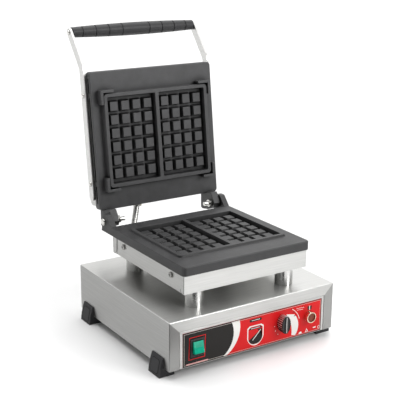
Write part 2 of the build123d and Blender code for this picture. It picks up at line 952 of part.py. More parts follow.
def upper_plate():
    """Cast upper plate, closed, its face downwards."""
    slab = waffle_slab(-(axis_y - lid_rear), -(axis_y - lid_front), -grid_y, upper_rim_height)
    slab = Rot(180, 0, 0) * slab
    plate = Pos(0, 0, axis_z + lid_face) * slab
    plate += locating_lips()
    for side in (-1, 1):
        lug, hole = upper_lug(side)
        plate = plate + lug - hole
    plate -= side_grooves()
    back = axis_z + lid_back
    for y in clamp_places(grid_y):
        plate += rod_z(0, y, back - 0.5, back + 2 * element_radius + 0.4, clamp_stud_radius)
        plate -= rod_z(0, y, back + 1, back + 20, 2.5)
    for x, y in cover_screw_places():
        plate += rod_z(x, y, back - 0.5, back + cover_height - sheet, 5.0)
        plate -= rod_z(x, y, back + 10, back + 40, 2.0)
    return plate


# ---------------------------------------------------------------- upper cover

def cover_screw_places():
    """Four screws through the cover's top into posts on the plate."""
    middle = axis_y - (cover_rear + cover_front) / 2
    reach = (cover_front - cover_rear) / 2 - 16
    return [(sx * 100.0, middle + sy * reach) for sx in (-1, 1) for sy in (-1, 1)]


def upper_cover():
    """Stainless box over the back of the upper plate."""
    side = cover_width / 2
    low = lid_back
    high = lid_back + cover_height
    box = lid_block(-side, side, cover_rear, cover_front, low, high)
    box = fillet(box.edges().filter_by(Axis.X).group_by(Axis.Z)[-1], cover_corner)
    room = lid_block(-side + sheet, side - sheet, cover_rear + sheet, cover_front - sheet, low - 1, high - sheet)
    inner_corner = cover_corner - sheet
    room = fillet(room.edges().filter_by(Axis.X).group_by(Axis.Z)[-1], inner_corner)
    cover = box - room
    for x, y in cover_screw_places():
        cover -= rod_z(x, y, axis_z + high - 5, axis_z + high + 5, 2.0)
    for along in arm_screw_along:
        cover -= rod_x(-half, half, axis_y - along, axis_z + arm_rise, arm_screw_radius)
    gland_y = axis_y - cover_rear
    cover -= rod_y(hose_lid_x, gland_y - 5, gland_y + 5, axis_z + hose_lid_rise, hose_radius + fit_gap)
    return cover


def cover_screws():
    """Pan-head screws on the cover's top."""
    screws = []
    top = axis_z + lid_back + cover_height
    for x, y in cover_screw_places():
        screws.append(rod_z(x, y, top - 12, top, 2.0) + rod_z(x, y, top, top + 2, 4.0))
    return together(screws)


def upper_insulation():
    """Mineral wool under the cover's top."""
    high = lid_back + cover_height - sheet - 0.5
    middle = axis_y - grid_y
    blanket = lid_block(-80, 80, middle - 78, middle + 78, high - insulation_height, high)
    return blanket


# ---------------------------------------------------------------- arms and handle

def arm_path():
    """Middle line of an arm on the closed lid, as (y, z)."""
    start = (axis_y - arm_end, axis_z + arm_rise)
    bend = (axis_y - arm_bend, axis_z + arm_rise)
    end = (axis_y - grip_along, axis_z + grip_rise)
    return start, bend, end


def arm(side):
    """Flat bar bent once, with round ends."""
    start, bend, end = arm_path()
    line = FilletPolyline(start, bend, end, radius=24.0)
    flat = trace(line, arm_width)
    flat += Pos(*start) * Circle(arm_width / 2)
    flat += Pos(*end) * Circle(arm_width / 2)
    low = arm_inside if side > 0 else -arm_outside / 2
    bar = Pos(low, 0, 0) * extrude(Plane.YZ * flat, arm_thickness)
    for along in arm_screw_along:
        bar -= rod_x(-half, half, axis_y - along, axis_z + arm_rise, arm_screw_radius)
    bar -= rod_x(-half, half, end[0], end[1], arm_screw_radius)
    return bar


def arm_spacers():
    """Short sleeves between the arms and the cover."""
    sleeves = []
    for side in (-1, 1):
        for along in arm_screw_along:
            y = axis_y - along
            z = axis_z + arm_rise
            sleeve = rod_x(side * cover_width / 2, side * arm_inside, y, z, arm_spacer_radius)
            bore = rod_x(side * (cover_width / 2 - 1), side * (arm_inside + 1), y, z, arm_screw_radius)
            sleeves.append(sleeve - bore)
    return together(sleeves)


def button_screw(side, x_head, length, y, z):
    """Domed screw along X, its head's underside at x_head."""
    shank = rod_x(x_head - side * length, x_head, y, z, arm_screw_radius)
    head = rod_x(x_head, x_head + side * button_head_height, y, z, button_head_radius)
    rim = head.faces().sort_by(Axis.X)[-1 if side > 0 else 0].edges()
    return shank + fillet(rim, button_head_height * 0.8)


def arm_screws():
    """Domed screws through the arms and spacers into the cover."""
    screws = []
    for side in (-1, 1):
        for along in arm_screw_along:
            place = (axis_y - along, axis_z + arm_rise)
            screws.append(button_screw(side, side * arm_outside / 2, 16.0, *place))
    return together(screws)


def handle_end_screws():
    """Domed screws through the arms into the handle's rod."""
    place = (axis_y - grip_along, axis_z + grip_rise)
    return together([button_screw(side, side * arm_outside / 2, 18.0, *place) for side in (-1, 1)])


def handle_rod():
    """Steel rod between the arms, tapped at both ends."""
    y, z = axis_y - grip_along, axis_z + grip_rise
    rod = rod_x(-arm_inside, arm_inside, y, z, rod_radius)
    for side in (-1, 1):
        tip = side * arm_inside
        rod -= rod_x(tip - side * (18.0 - arm_thickness), tip, y, z, arm_screw_radius)
    return rod


def handle_grip():
    """Barrel-shaped grip, turned with four grooves on each half."""
    y, z = axis_y - grip_along, axis_z + grip_rise
    length = arm_inside - 1.0
    crown = Spline(
        (-length, grip_end_radius), (0, grip_middle_radius), (length, grip_end_radius),
        tangents=((1, 0.045), (1, -0.045)),
    )
    outline = Curve() + [
        Line((-length, 0), (-length, grip_end_radius)),
        crown,
        Line((length, grip_end_radius), (length, 0)),
        Line((length, 0), (-length, 0)),
    ]
    grip = revolve(make_face(outline), Axis.X)
    for place in grip_groove_places:
        for side in (-1, 1):
            depth_radius = (crown @ (0.5 + side * place / length / 2)).Y - grip_groove_depth
            ring = Pos(side * place, 0, 0) * Rot(0, 90, 0) * Cylinder(30, grip_groove_width)
            ring -= Pos(side * place, 0, 0) * Rot(0, 90, 0) * Cylinder(depth_radius, grip_groove_width)
            grip -= ring
    grip -= rod_x(-half, half, 0, 0, rod_radius)
    return Pos(0, y, z) * grip


# ---------------------------------------------------------------- hose and cable

def conduit_lower_gland():
    """Fitting on the housing's top for the hose."""
    x, y = hose_base_x, front_y + hose_base_y
    gland = Pos(x, y, top_z) * hexagon(gland_across, gland_height * 0.5)
    gland += rod_z(x, y, top_z, top_z + gland_height, gland_across * 0.42)
    return gland - rod_z(x, y, top_z - 1, top_z + gland_height + 1, hose_radius)


def conduit_upper_gland():
    """Fitting on the cover's rear wall for the hose."""
    x, z = hose_lid_x, axis_z + hose_lid_rise
    wall = axis_y - cover_rear
    gland = Pos(x, wall, z) * Rot(-90, 0, 0) * hexagon(gland_across, gland_height * 0.5)
    gland += rod_y(x, wall, wall + gland_height, z, gland_across * 0.42)
    return gland - rod_y(x, wall - 1, wall + gland_height + 1, z, hose_radius)


def conduit():
    """Flexible metal hose from the housing to the lid, in its open place."""
    start = Vector(hose_base_x, front_y + hose_base_y, top_z)
    seat = open_place(hose_lid_x, cover_rear, hose_lid_rise)
    lead = open_place(hose_lid_x, cover_rear - gland_height - 8, hose_lid_rise)
    points = [
        start,
        start + Vector(0, 0, gland_height + 6),
        start + Vector(3, 6, gland_height + 26),
        start + Vector(13, 26, gland_height + 46),
        lead + Vector(-5, -8, -9),
        lead,
        seat,
    ]
    runs = [(b - a).length for a, b in zip(points, points[1:])]
    radii = []
    for number in range(1, len(points) - 1):
        before = points[number] - points[number - 1]
        after = points[number + 1] - points[number]
        turn = before.get_angle(after)
        shorter = min(runs[number - 1], runs[number])
        radii.append(0.45 * shorter / tan(radians(turn / 2)))
    print("hose radii", [round(r, 1) for r in radii], "length", round(sum(runs), 1))
    path = FilletPolyline(*points, radius=radii)
    start_plane = Plane(origin=path @ 0, z_dir=path % 0)
    return sweep(start_plane * Circle(hose_radius), path=path)


def cable_gland():
    """Gland in the back panel for the mains lead."""
    x, z = cable_gland_x, floor_z + cable_gland_z
    wall = back_y - sheet
    gland = Pos(x, wall, z) * Rot(-90, 0, 0) * hexagon(22.0, 6.0)
    gland += rod_y(x, wall, wall + cable_gland_reach, z, 8.5)
    gland += rod_y(x, wall - 12, wall, z, 8.0)
    return gland - rod_y(x, wall - 13, wall + cable_gland_reach + 1, z, cable_bore)


def cable_gland_nut():
    """Nut on the gland, inside the back panel."""
    x, z = cable_gland_x, floor_z + cable_gland_z
    wall = back_y - 2 * sheet
    nut = Pos(x, wall - 5, z) * Rot(-90, 0, 0) * hexagon(22.0, 5.0)
    return nut - rod_y(x, wall - 6, wall + 1, z, 8.0)


def terminal_block():
    """Three-way block on the base plate."""
    x, y, z = 90.0, back_y - 55, floor_z + sheet
    body = block(x - 22, x + 22, y - 10, y + 10, z, z + 16)
    for way in (-14, 0, 14):
        body -= rod_y(x + way, y - 11, y + 11, z + 9, 2.6)
    return body


def internal_wires():
    """Leads between the terminal block, switch, thermostat and lamp."""
    wire = 1.3
    low = floor_z + 14
    tab_y = switch_face + switch_depth + 8
    block_y = back_y - 66
    lamp_y = switch_face + lamp_body_depth
    thermostat_y = panel_back + 4 + thermostat_depth
    routes = [
        [
            (switch_x - 7, tab_y, rocker_pivot_z - 8), (switch_x - 7, tab_y + 30, rocker_pivot_z - 8),
            (switch_x + 40, block_y - 60, low), (76, block_y - 50, low), (76, block_y, floor_z + sheet + 9),
        ],
        [
            (switch_x + 7, tab_y, rocker_pivot_z + 8), (switch_x + 7, tab_y + 26, rocker_pivot_z + 8),
            (knob_x - 40, thermostat_y + 26, low + 14), (knob_x - 12, thermostat_y + 22, low + 10),
            (knob_x - 12, thermostat_y, low + 10),
        ],
        [
            (lamp_x, lamp_y, lamp_height_z), (lamp_x, lamp_y + 26, lamp_height_z),
            (90, block_y - 40, low + 6), (90, block_y, floor_z + sheet + 9),
        ],
    ]
    return together([tube_along(route, 6.0, wire) for route in routes])


# ---------------------------------------------------------------- all nodes

def all_nodes():
    """Each node's name and its shape where it stands."""
    nodes = {
        "housing_shell": housing_shell(),
        "base_plate": base_plate(),
        "back_panel": back_panel(),
        "back_panel_screws": back_panel_screws(),
        "foot_screws": foot_screws(),
        "foot_nuts": foot_nuts(),
        "control_panel": control_panel(),
        "panel_label": panel_label(),
        "power_switch_body": power_switch_body(),
        "power_switch_rocker": power_switch_rocker(),
        "thermostat_body": thermostat_body(),
        "thermostat_shaft": thermostat_shaft(),
        "thermostat_knob": thermostat_knob(),
        "thermostat_probe": thermostat_probe(),
        "pilot_lamp_bezel": pilot_lamp_bezel(),
        "pilot_lamp_lens": pilot_lamp_lens(),
        "pilot_lamp_body": pilot_lamp_body(),
        "column_studs": column_studs(),
        "column_nuts": column_nuts(),
        "lower_tray": lower_tray(),
        "tray_front_sheet": tray_end_sheet(tray_y0, 1),
        "tray_rear_sheet": tray_end_sheet(tray_y1, -1),
        "tray_screws": tray_screws(),
        "lower_plate": lower_plate(),
        "lower_heating_element": heating_loop(grid_y, element_z),
        "lower_clamp_sheet": clamp_sheet_piece(grid_y, clamp_z),
        "lower_clamp_screws": clamp_screws(grid_y, clamp_z),
        "lower_insulation": lower_insulation(),
        "hinge_bolts": hinge_bolts(),
        "hinge_nuts": hinge_nuts(),
        "conduit_lower_gland": conduit_lower_gland(),
        "conduit": conduit(),
        "cable_gland": cable_gland(),
        "cable_gland_nut": cable_gland_nut(),
        "terminal_block": terminal_block(),
        "internal_wires": internal_wires(),
    }
    foot_names = ("foot_front_left", "foot_front_right", "foot_rear_left", "foot_rear_right")
    for name, (x, y) in zip(foot_names, foot_places()):
        nodes[name] = foot(x, y)
    column_names = ("column_front_left", "column_front_right", "column_rear_left", "column_rear_right")
    for name, (x, y) in zip(column_names, column_places):
        nodes[name] = column(x, y)

    back = axis_z + lid_back
    upper_clamp_z = back + 2 * element_radius + 0.4
    upside_down = Plane(origin=(0, 0, upper_clamp_z), z_dir=(0, 0, 1))
    lid = {
        "upper_plate": upper_plate(),
        "upper_cover": upper_cover(),
        "cover_screws": cover_screws(),
        "upper_insulation": upper_insulation(),
        "upper_heating_element": heating_loop(grid_y, back + element_radius + 0.2),
        "upper_clamp_sheet": mirror(clamp_sheet_piece(grid_y, upper_clamp_z), about=upside_down),
        "upper_clamp_screws": mirror(clamp_screws(grid_y, upper_clamp_z), about=upside_down),
        "arm_left": arm(-1),
        "arm_right": arm(1),
        "arm_spacers": arm_spacers(),
        "arm_screws": arm_screws(),
        "handle_rod": handle_rod(),
        "handle_grip": handle_grip(),
        "handle_end_screws": handle_end_screws(),
        "conduit_upper_gland": conduit_upper_gland(),
    }
    for name, shape in lid.items():
        nodes[name] = opened(shape)
    return nodes


os.makedirs("parts", exist_ok=True)
for node_name, node_shape in all_nodes().items():
    export_step(node_shape, f"parts/{node_name}.step")
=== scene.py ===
import json
import math

import bmesh
import bpy
from bpy.props import FloatProperty, FloatVectorProperty, PointerProperty
from mathutils import Matrix, Vector


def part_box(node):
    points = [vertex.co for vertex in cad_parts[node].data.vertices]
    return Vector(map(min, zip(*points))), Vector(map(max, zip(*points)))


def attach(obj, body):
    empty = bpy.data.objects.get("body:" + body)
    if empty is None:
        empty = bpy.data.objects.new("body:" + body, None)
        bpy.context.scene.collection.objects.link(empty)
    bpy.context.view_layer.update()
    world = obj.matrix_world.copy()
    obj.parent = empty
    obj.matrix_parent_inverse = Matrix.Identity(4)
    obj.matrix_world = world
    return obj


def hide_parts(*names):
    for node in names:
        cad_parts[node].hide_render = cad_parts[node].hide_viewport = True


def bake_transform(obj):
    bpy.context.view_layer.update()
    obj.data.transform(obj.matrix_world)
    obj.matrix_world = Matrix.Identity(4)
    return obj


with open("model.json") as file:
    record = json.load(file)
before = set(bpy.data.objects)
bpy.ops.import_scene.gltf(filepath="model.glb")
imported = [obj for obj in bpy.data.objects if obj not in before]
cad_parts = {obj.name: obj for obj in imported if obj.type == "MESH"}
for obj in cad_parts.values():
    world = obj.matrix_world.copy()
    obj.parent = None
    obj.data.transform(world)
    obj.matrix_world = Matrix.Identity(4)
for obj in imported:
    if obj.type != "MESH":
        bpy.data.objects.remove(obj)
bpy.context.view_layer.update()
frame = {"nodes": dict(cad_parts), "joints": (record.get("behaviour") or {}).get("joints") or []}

bl_info = {
    "name": "Waffle maker finish",
    "version": (1, 0, 0),
    "blender": (4, 5, 0),
    "location": "View3D > Sidebar > Waffle maker",
    "description": "Finishes and small fittings of a counter waffle maker",
    "category": "Object",
}

MM = 0.001
NODES = frame["nodes"]
JOINTS = {joint["name"]: joint for joint in frame["joints"]}

# Places that the pieces share, read from the frame, in metres.
LABEL_LOW, LABEL_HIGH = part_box("panel_label")
HOUSING_LOW, HOUSING_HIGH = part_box("housing_shell")
KNOB_LOW, KNOB_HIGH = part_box("thermostat_knob")
SWITCH_LOW, SWITCH_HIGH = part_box("power_switch_body")
LAMP_LOW, LAMP_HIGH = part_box("pilot_lamp_bezel")
LABEL_FACE = LABEL_LOW.y
PANEL_ZERO = HOUSING_LOW.z
KNOB_X = (KNOB_LOW.x + KNOB_HIGH.x) / 2
KNOB_Z = JOINTS["knob_turn"]["pos_m"][2]

# Numbers used in more than one place, in millimetres where they are lengths.
KNOB_FACETS = 48
KNOB_VALLEY = 0.93
RIB_REACH = 15.0
LINE_REACH = 14.0
SEAM_PROUD = 0.08
SEAM_WIDTH = 1.1
FLANGE_SHADOW = 0.8


def linear(colour):
    """An sRGB hex colour as linear red, green and blue."""
    parts = [int(colour[i:i + 2], 16) / 255 for i in (0, 2, 4)]
    return tuple(
        part / 12.92 if part <= 0.04045 else ((part + 0.055) / 1.055) ** 2.4
        for part in parts
    )


def colour_property(name, about, colour):
    """A colour that a user may change, from its sRGB hex value."""
    return FloatVectorProperty(
        name=name, description=about, default=linear(colour),
        subtype="COLOR", size=3, min=0.0, max=1.0,
    )


def size_property(name, about, millimetres):
    """A size that a user may change, given in millimetres and kept in metres."""
    return FloatProperty(
        name=name, description=about, default=millimetres * MM,
        unit="LENGTH", subtype="DISTANCE", min=0.0, precision=5,
    )


class WaffleMakerSizes(bpy.types.PropertyGroup):
    """Sizes of the fittings that are added to the frame."""

    hose_radius: size_property("Hose radius", "Over the crests of the hose", 5.75)
    hose_pitch: size_property("Hose pitch", "From one crest to the next", 2.0)
    hose_groove: size_property("Hose groove", "Depth between two crests", 0.3)
    print_layer: size_property("Print layer", "Thickness of one printed ink layer", 0.05)
    knob_front: size_property("Knob face", "Half the width of the knob's face", 9.2)
    knob_back: size_property("Knob back", "Half the width of the knob's back", 9.7)
    knob_tall: size_property("Knob height", "Half the height of the oval knob", 16.3)
    foil: size_property("Foil", "Thickness of the knob's silver line", 0.12)
    trim_width: size_property("Pointer line", "Width of the silver line on the knob's rib", 1.0)
    cross_width: size_property("Cross width", "Width of a cross recess's arm", 0.9)
    edge: size_property("Edge", "Rounding that catches the light on cut edges", 0.7)


class WaffleMakerColours(bpy.types.PropertyGroup):
    """Colours of the finishes."""

    sheet: colour_property("Brushed sheet", "Housing, tray and cover", "C6C6C4")
    bar: colour_property("Satin bar", "The lid's two arms", "D2D2D0")
    polished: colour_property("Polished tube", "The four columns", "DCDCDA")
    bright: colour_property("Bright fasteners", "Bolts, nuts and screws", "E4E3DF")
    iron: colour_property("Cast iron", "The two plates, under their coating", "444445")
    # Wear and painted highlight: the lighter colour of the plates' edges and crests.
    iron_wear_and_highlight: colour_property("Worn iron", "Edges and crests of the plates", "666666")
    rubber: colour_property("Rubber", "The four feet", "2C2C2E")
    grip: colour_property("Grip", "The handle's turned grip", "242426")
    black: colour_property("Black plastic", "Switch frame and knob", "171718")
    print_red: colour_property("Printed red", "Main colour of the panel's film", "DC1216")
    print_black: colour_property("Printed black", "Left part of the panel's film", "1D1B19")
    print_white: colour_property("Printed white", "Bands and outlines on the film", "F4F2EE")
    print_dark: colour_property("Printed dark red", "Shaded marks on the film", "7A1416")
    rocker: colour_property("Rocker", "Translucent green rocker", "0BA383")
    amber: colour_property("Amber", "The pilot lamp's lens", "7A2E04")
    floor: colour_property("Floor", "The pale studio floor", "F2F2F2")


def sizes():
    return bpy.context.scene.waffle_maker_sizes


def colours():
    return bpy.context.scene.waffle_maker_colours


# ------------------------------------------------------------------ nodes


def add(tree, kind, links=None, **settings):
    """Adds a shader node. A setting is one of its own values, or a socket with _ for a space."""
    made = tree.nodes.new("ShaderNode" + kind)
    for name, value in settings.items():
        if name[0].islower():
            setattr(made, name, value)
        else:
            socket = made.inputs[int(name[1:])] if name[1:].isdigit() else made.inputs[name.replace("_", " ")]
            socket.default_value = (*value,
                1.0) if socket.type == "RGBA" and len(value) == 3 else value
    for name, source in (links or {}).items():
        tree.links.new(source, made.inputs[name])
    return made


def new_finish(name):
    """An empty node material: its tree and the output node."""
    finish = bpy.data.materials.new(name)
    finish.use_nodes = True
    finish.node_tree.nodes.clear()
    return finish, finish.node_tree


def close_finish(tree, shader):
    output = tree.nodes.new("ShaderNodeOutputMaterial")
    tree.links.new(shader.outputs[0], output.inputs["Surface"])


def ramp(tree, source, *stops):
    """A colour ramp through (place, colour) stops."""
    made = add(tree, "ValToRGB", {"Fac": source})
    line = made.color_ramp
    while len(line.elements) < len(stops):
        line.elements.new(0.5)
    for element, (place, colour) in zip(line.elements, stops):
        element.position = place
        element.color = (*colour, 1.0) if len(colour) == 3 else colour
    return made.outputs["Color"]


def grey(value):
    return (value, value, value)


def tinted(colour, factor):
    """A linear colour made lighter or darker."""
    return tuple(min(part * factor, 1.0) for part in colour)


def coat(finish, *names):
    """Gives CAD nodes a finish in the slots that they have."""
    for name in names:
        for held in NODES[name].material_slots:
            held.material = finish


def edge_mask(tree, radius, samples=4):
    """How far a point is on a cut edge, from 0 on a flat to 1 on the edge, and the rounded normal."""
    rounded = add(tree, "Bevel", samples=samples, Radius=radius)
    flat = add(tree, "NewGeometry")
    same = add(
        tree, "VectorMath", {0: rounded.outputs["Normal"], 1: flat.outputs["Normal"]},
        operation="DOT_PRODUCT",
    )
    away = add(tree, "Math", {1: same.outputs["Value"]}, operation="SUBTRACT", I0=1.0)
    wide = add(tree, "Math", {0: away.outputs[0]}, operation="MULTIPLY", I1=6.0, use_clamp=True)
    return wide.outputs[0], rounded.outputs["Normal"]


def brushed_finish(name, colour, roughness, mitred=False, streak=(70, 2.2)):
    """Stainless sheet or bar, brushed with a belt: fine straight lines, drawn wider than the
    real 0.2 mm so that they show. The eye gets a soft sheen that breaks into faint streaks,
    edges painted lighter as a painted highlight, and on the mitred frame the upright strips,
    where the grain stands upright, painted darker as painted shade."""
    finish, tree = new_finish(name)
    place = add(tree, "TexCoord").outputs["Object"]
    geometry = add(tree, "NewGeometry")
    facing = add(tree, "SeparateXYZ", {0: geometry.outputs["Normal"]})
    sideways = add(tree, "Math", {0: facing.outputs["X"]}, operation="ABSOLUTE")
    on_side = add(tree, "Math", {0: sideways.outputs[0]}, operation="GREATER_THAN", I1=0.6)
    long, wide = 1 / (streak[0] * MM), 1 / (streak[1] * MM)
    stretch = add(
        tree, "MixRGB", {"Fac": on_side.outputs[0]},
        Color1=(long, wide, wide), Color2=(wide, long, wide),
    )
    direction = stretch.outputs["Color"]
    upright = None
    if mitred:
        spot = add(tree, "SeparateXYZ", {0: place})
        out = add(tree, "Math", {0: spot.outputs["X"]}, operation="ABSOLUTE")
        across = add(tree, "Math", {0: out.outputs[0], 1: spot.outputs["Z"]}, operation="SUBTRACT")
        corner = HOUSING_HIGH.x - HOUSING_HIGH.z
        past = add(tree, "Math", {0: across.outputs[0]}, operation="GREATER_THAN", I1=corner)
        front = add(tree, "Math", {0: facing.outputs["Y"]}, operation="LESS_THAN", I1=-0.6)
        upright = add(tree, "Math", {0: past.outputs[0], 1: front.outputs[0]},
            operation="MULTIPLY")
        direction = add(
            tree, "MixRGB", {"Fac": upright.outputs[0], "Color1": direction},
            Color2=(wide, wide, long),
        ).outputs["Color"]
    grain = add(
        tree, "MixRGB", {"Fac": on_side.outputs[0]}, Color1=(1.0, 0.0, 0.0),
            Color2=(0.0, 1.0, 0.0),
    ).outputs["Color"]
    if mitred:
        grain = add(
            tree, "MixRGB", {"Fac": upright.outputs[0], "Color1": grain}, Color2=(0.0, 0.0, 1.0),
        ).outputs["Color"]
    across_grain = add(
        tree, "VectorMath", {0: geometry.outputs["Normal"], 1: grain}, operation="CROSS_PRODUCT",
    ).outputs[0]
    lines_at = add(tree, "VectorMath", {0: place, 1: direction}, operation="MULTIPLY")
    lines = add(
        tree, "TexNoise", {"Vector": lines_at.outputs[0]},
        Scale=1.0, Detail=3.0, Roughness=0.6,
    ).outputs["Fac"]
    cloud = add(tree, "TexNoise", {"Vector": place}, Scale=1 / (90 * MM),
        Detail=1.0).outputs["Fac"]
    tone = ramp(tree, lines, (0.30, tinted(colour, 0.93)), (0.70, tinted(colour, 1.04)))
    # Painted shade: the mitred frame's upright strips are painted at 0.62 of the sheet's colour.
    if mitred:
        tone = add(
            tree, "MixRGB", {"Fac": upright.outputs[0], "Color1": tone},
            Color2=tinted(colour, 0.62),
        ).outputs["Color"]
    # Painted highlight: cut and folded edges are painted 1.3 times lighter, besides the rounded normal.
    edge, normal = edge_mask(tree, sizes().edge)
    tone = add(tree, "MixRGB", {"Fac": edge, "Color1": tone},
        Color2=tinted(colour, 1.3)).outputs["Color"]
    rough = add(
        tree, "MapRange", {"Value": cloud}, From_Min=0.3, From_Max=0.7,
        To_Min=roughness - 0.03, To_Max=roughness + 0.04,
    )
    bump = add(tree, "Bump", {"Height": lines, "Normal": normal}, Strength=0.06, Distance=0.00012)
    shader = add(
        tree, "BsdfPrincipled",
        {
            "Base Color": tone, "Roughness": rough.outputs[0], "Normal": bump.outputs[0],
            "Tangent": across_grain,
        },
        Metallic=1.0, Anisotropic=0.65,
    )
    close_finish(tree, shader)
    return finish


def bright_finish(name, colour, roughness, scuff=0.12, turned=0.0):
    """Polished or zinc-plated metal: turned or drawn, then buffed. The eye gets clear dark and
    light reflections with a few cloudy scuffs."""
    finish, tree = new_finish(name)
    place = add(tree, "TexCoord").outputs["Object"]
    cloud = add(tree, "TexNoise", {"Vector": place}, Scale=1 / (6 * MM), Detail=3.0).outputs["Fac"]
    tone = ramp(tree, cloud, (0.35, tinted(colour, 1 - scuff)), (0.65, colour))
    rough = add(
        tree, "MapRange", {"Value": cloud}, From_Min=0.3, From_Max=0.7,
        To_Min=roughness, To_Max=roughness + 0.08,
    )
    normal = edge_mask(tree, 0.0003)[1]
    shader = add(
        tree, "BsdfPrincipled",
        {"Base Color": tone, "Roughness": rough.outputs[0], "Normal": normal},
        Metallic=1.0, Anisotropic=turned, Anisotropic_Rotation=0.25 if turned else 0.0,
    )
    if turned:
        round_axis = add(tree, "Tangent", direction_type="RADIAL", axis="Z")
        tree.links.new(round_axis.outputs[0], shader.inputs["Tangent"])
    close_finish(tree, shader)
    return finish


def cast_iron_finish(name, shade):
    """Grey iron cast in sand, sprayed with a dark non-stick coating, with its colour scaled by
    shade, which paints one plate darker than the other as painted shade. Its grit of about 0.8 mm
    stays under the coating as a fine grain, the coating is thin, edges and crests are lighter,
    partly from wear and partly as a painted highlight, and ambient occlusion paints the pockets darker as
    painted shade."""
    colour, worn_and_highlight = tinted(colours().iron, shade), tinted(colours().iron_wear_and_highlight, shade)
    finish, tree = new_finish(name)
    place = add(tree, "TexCoord").outputs["Object"]
    grit = add(
        tree, "TexNoise", {"Vector": place}, Scale=1 / (0.9 * MM), Detail=4.0, Roughness=0.65,
    ).outputs["Fac"]
    blotch = add(tree, "TexNoise", {"Vector": place}, Scale=1 / (28 * MM),
        Detail=3.0).outputs["Fac"]
    tone = ramp(tree, blotch, (0.32, tinted(colour, 0.82)), (0.68, tinted(colour, 1.14)))
    speck = ramp(tree, grit, (0.30, grey(0.86)), (0.70, grey(1.08)))
    tone = add(tree, "MixRGB", {"Color1": tone, "Color2": speck}, blend_type="MULTIPLY", Fac=1.0)
    # Wear and painted highlight: edges and crests take the lighter colour.
    edge, normal = edge_mask(tree, 0.0009)
    tone = add(tree, "MixRGB", {"Fac": edge, "Color1": tone.outputs["Color"]}, Color2=tuple(worn_and_highlight))
    # Painted shade: ambient occlusion paints pockets and crevices darker.
    open_sky = add(tree, "AmbientOcclusion", samples=8, Distance=0.020).outputs["AO"]
    painted_pocket_shade = ramp(tree, open_sky, (0.32, grey(0.08)), (0.88, grey(1.0)))
    tone = add(
        tree, "MixRGB", {"Color1": tone.outputs["Color"], "Color2": painted_pocket_shade}, blend_type="MULTIPLY",
            Fac=1.0,
    )
    rough = add(
        tree, "MapRange", {"Value": blotch}, From_Min=0.3, From_Max=0.7, To_Min=0.42, To_Max=0.56,
    )
    bump = add(tree, "Bump", {"Height": grit, "Normal": normal}, Strength=0.35, Distance=0.00025)
    shader = add(
        tree, "BsdfPrincipled",
        {"Base Color": tone.outputs["Color"], "Roughness": rough.outputs[0],
            "Normal": bump.outputs[0]},
        IOR=1.45, Specular_IOR_Level=0.55,
    )
    close_finish(tree, shader)
    return finish


def moulded_finish(name, colour, roughness, grain=0.9, depth=0.12, coating=0.0, ior=1.5):
    """Moulded plastic or rubber: a fine even grain from the mould, a slight change of sheen,
    and lighter edges, partly from rubbing and partly as a painted highlight."""
    finish, tree = new_finish(name)
    place = add(tree, "TexCoord").outputs["Object"]
    fine = add(tree, "TexNoise", {"Vector": place}, Scale=1 / (grain * MM),
        Detail=3.0).outputs["Fac"]
    cloud = add(tree, "TexNoise", {"Vector": place}, Scale=1 / (18 * MM),
        Detail=2.0).outputs["Fac"]
    tone = ramp(tree, cloud, (0.30, tinted(colour, 0.85)), (0.70, tinted(colour, 1.15)))
    edge, normal = edge_mask(tree, 0.0006)
    # Wear and painted highlight: edges are painted lighter.
    worn_and_highlight = tuple(part * 1.3 + 0.03 for part in colour)
    tone = add(tree, "MixRGB", {"Fac": edge, "Color1": tone}, Color2=worn_and_highlight).outputs["Color"]
    rough = add(
        tree, "MapRange", {"Value": cloud}, From_Min=0.3, From_Max=0.7,
        To_Min=max(roughness - 0.05, 0.02), To_Max=roughness + 0.05,
    )
    bump = add(tree, "Bump", {"Height": fine, "Normal": normal}, Strength=depth, Distance=0.0002)
    shader = add(
        tree, "BsdfPrincipled",
        {"Base Color": tone, "Roughness": rough.outputs[0], "Normal": bump.outputs[0]},
        IOR=ior, Coat_Weight=coating, Coat_Roughness=0.12,
    )
    close_finish(tree, shader)
    return finish


def printed_finish(name, colour):
    """Screen-printed polyester film under a clear satin top coat: an even ink with a very
    slight orange peel of about 4 mm in the gloss."""
    finish, tree = new_finish("printed_film_" + name)
    place = add(tree, "TexCoord").outputs["Object"]
    peel = add(tree, "TexNoise", {"Vector": place}, Scale=1 / (4 * MM), Detail=1.0).outputs["Fac"]
    cloud = add(tree, "TexNoise", {"Vector": place}, Scale=1 / (45 * MM),
        Detail=1.0).outputs["Fac"]
    tone = ramp(tree, cloud, (0.3, tinted(colour, 0.93)), (0.7, tinted(colour, 1.04)))
    bump = add(tree, "Bump", {"Height": peel}, Strength=0.05, Distance=0.0003)
    shader = add(
        tree, "BsdfPrincipled", {"Base Color": tone, "Normal": bump.outputs[0]},
        Roughness=0.42, IOR=1.45, Specular_IOR_Level=0.25, Coat_Weight=0.06, Coat_Roughness=0.12,
    )
    close_finish(tree, shader)
    return finish


def translucent_finish(name, colour, roughness, glow, coating=0.5):
    """Clear coloured acrylic or polycarbonate, moulded with a gloss. Its colour is also given out
    as a painted glow, so the piece looks lit from inside, and its edges are painted lighter as a painted
    highlight."""
    finish, tree = new_finish(name)
    place = add(tree, "TexCoord").outputs["Object"]
    cloud = add(tree, "TexNoise", {"Vector": place}, Scale=1 / (7 * MM), Detail=2.0).outputs["Fac"]
    tone = ramp(tree, cloud, (0.3, tinted(colour, 0.78)), (0.7, tinted(colour, 1.12)))
    # Painted highlight: edges are painted 1.5 times lighter.
    edge, normal = edge_mask(tree, 0.0006)
    tone = add(tree, "MixRGB", {"Fac": edge, "Color1": tone},
        Color2=tinted(colour, 1.5)).outputs["Color"]
    # Painted glow: the colour is also given out as emission, as strong as glow.
    shader = add(
        tree, "BsdfPrincipled", {"Base Color": tone, "Emission Color": tone, "Normal": normal},
        Roughness=roughness, IOR=1.49, Emission_Strength=glow,
        Coat_Weight=coating, Coat_Roughness=0.05,
    )
    close_finish(tree, shader)
    return finish


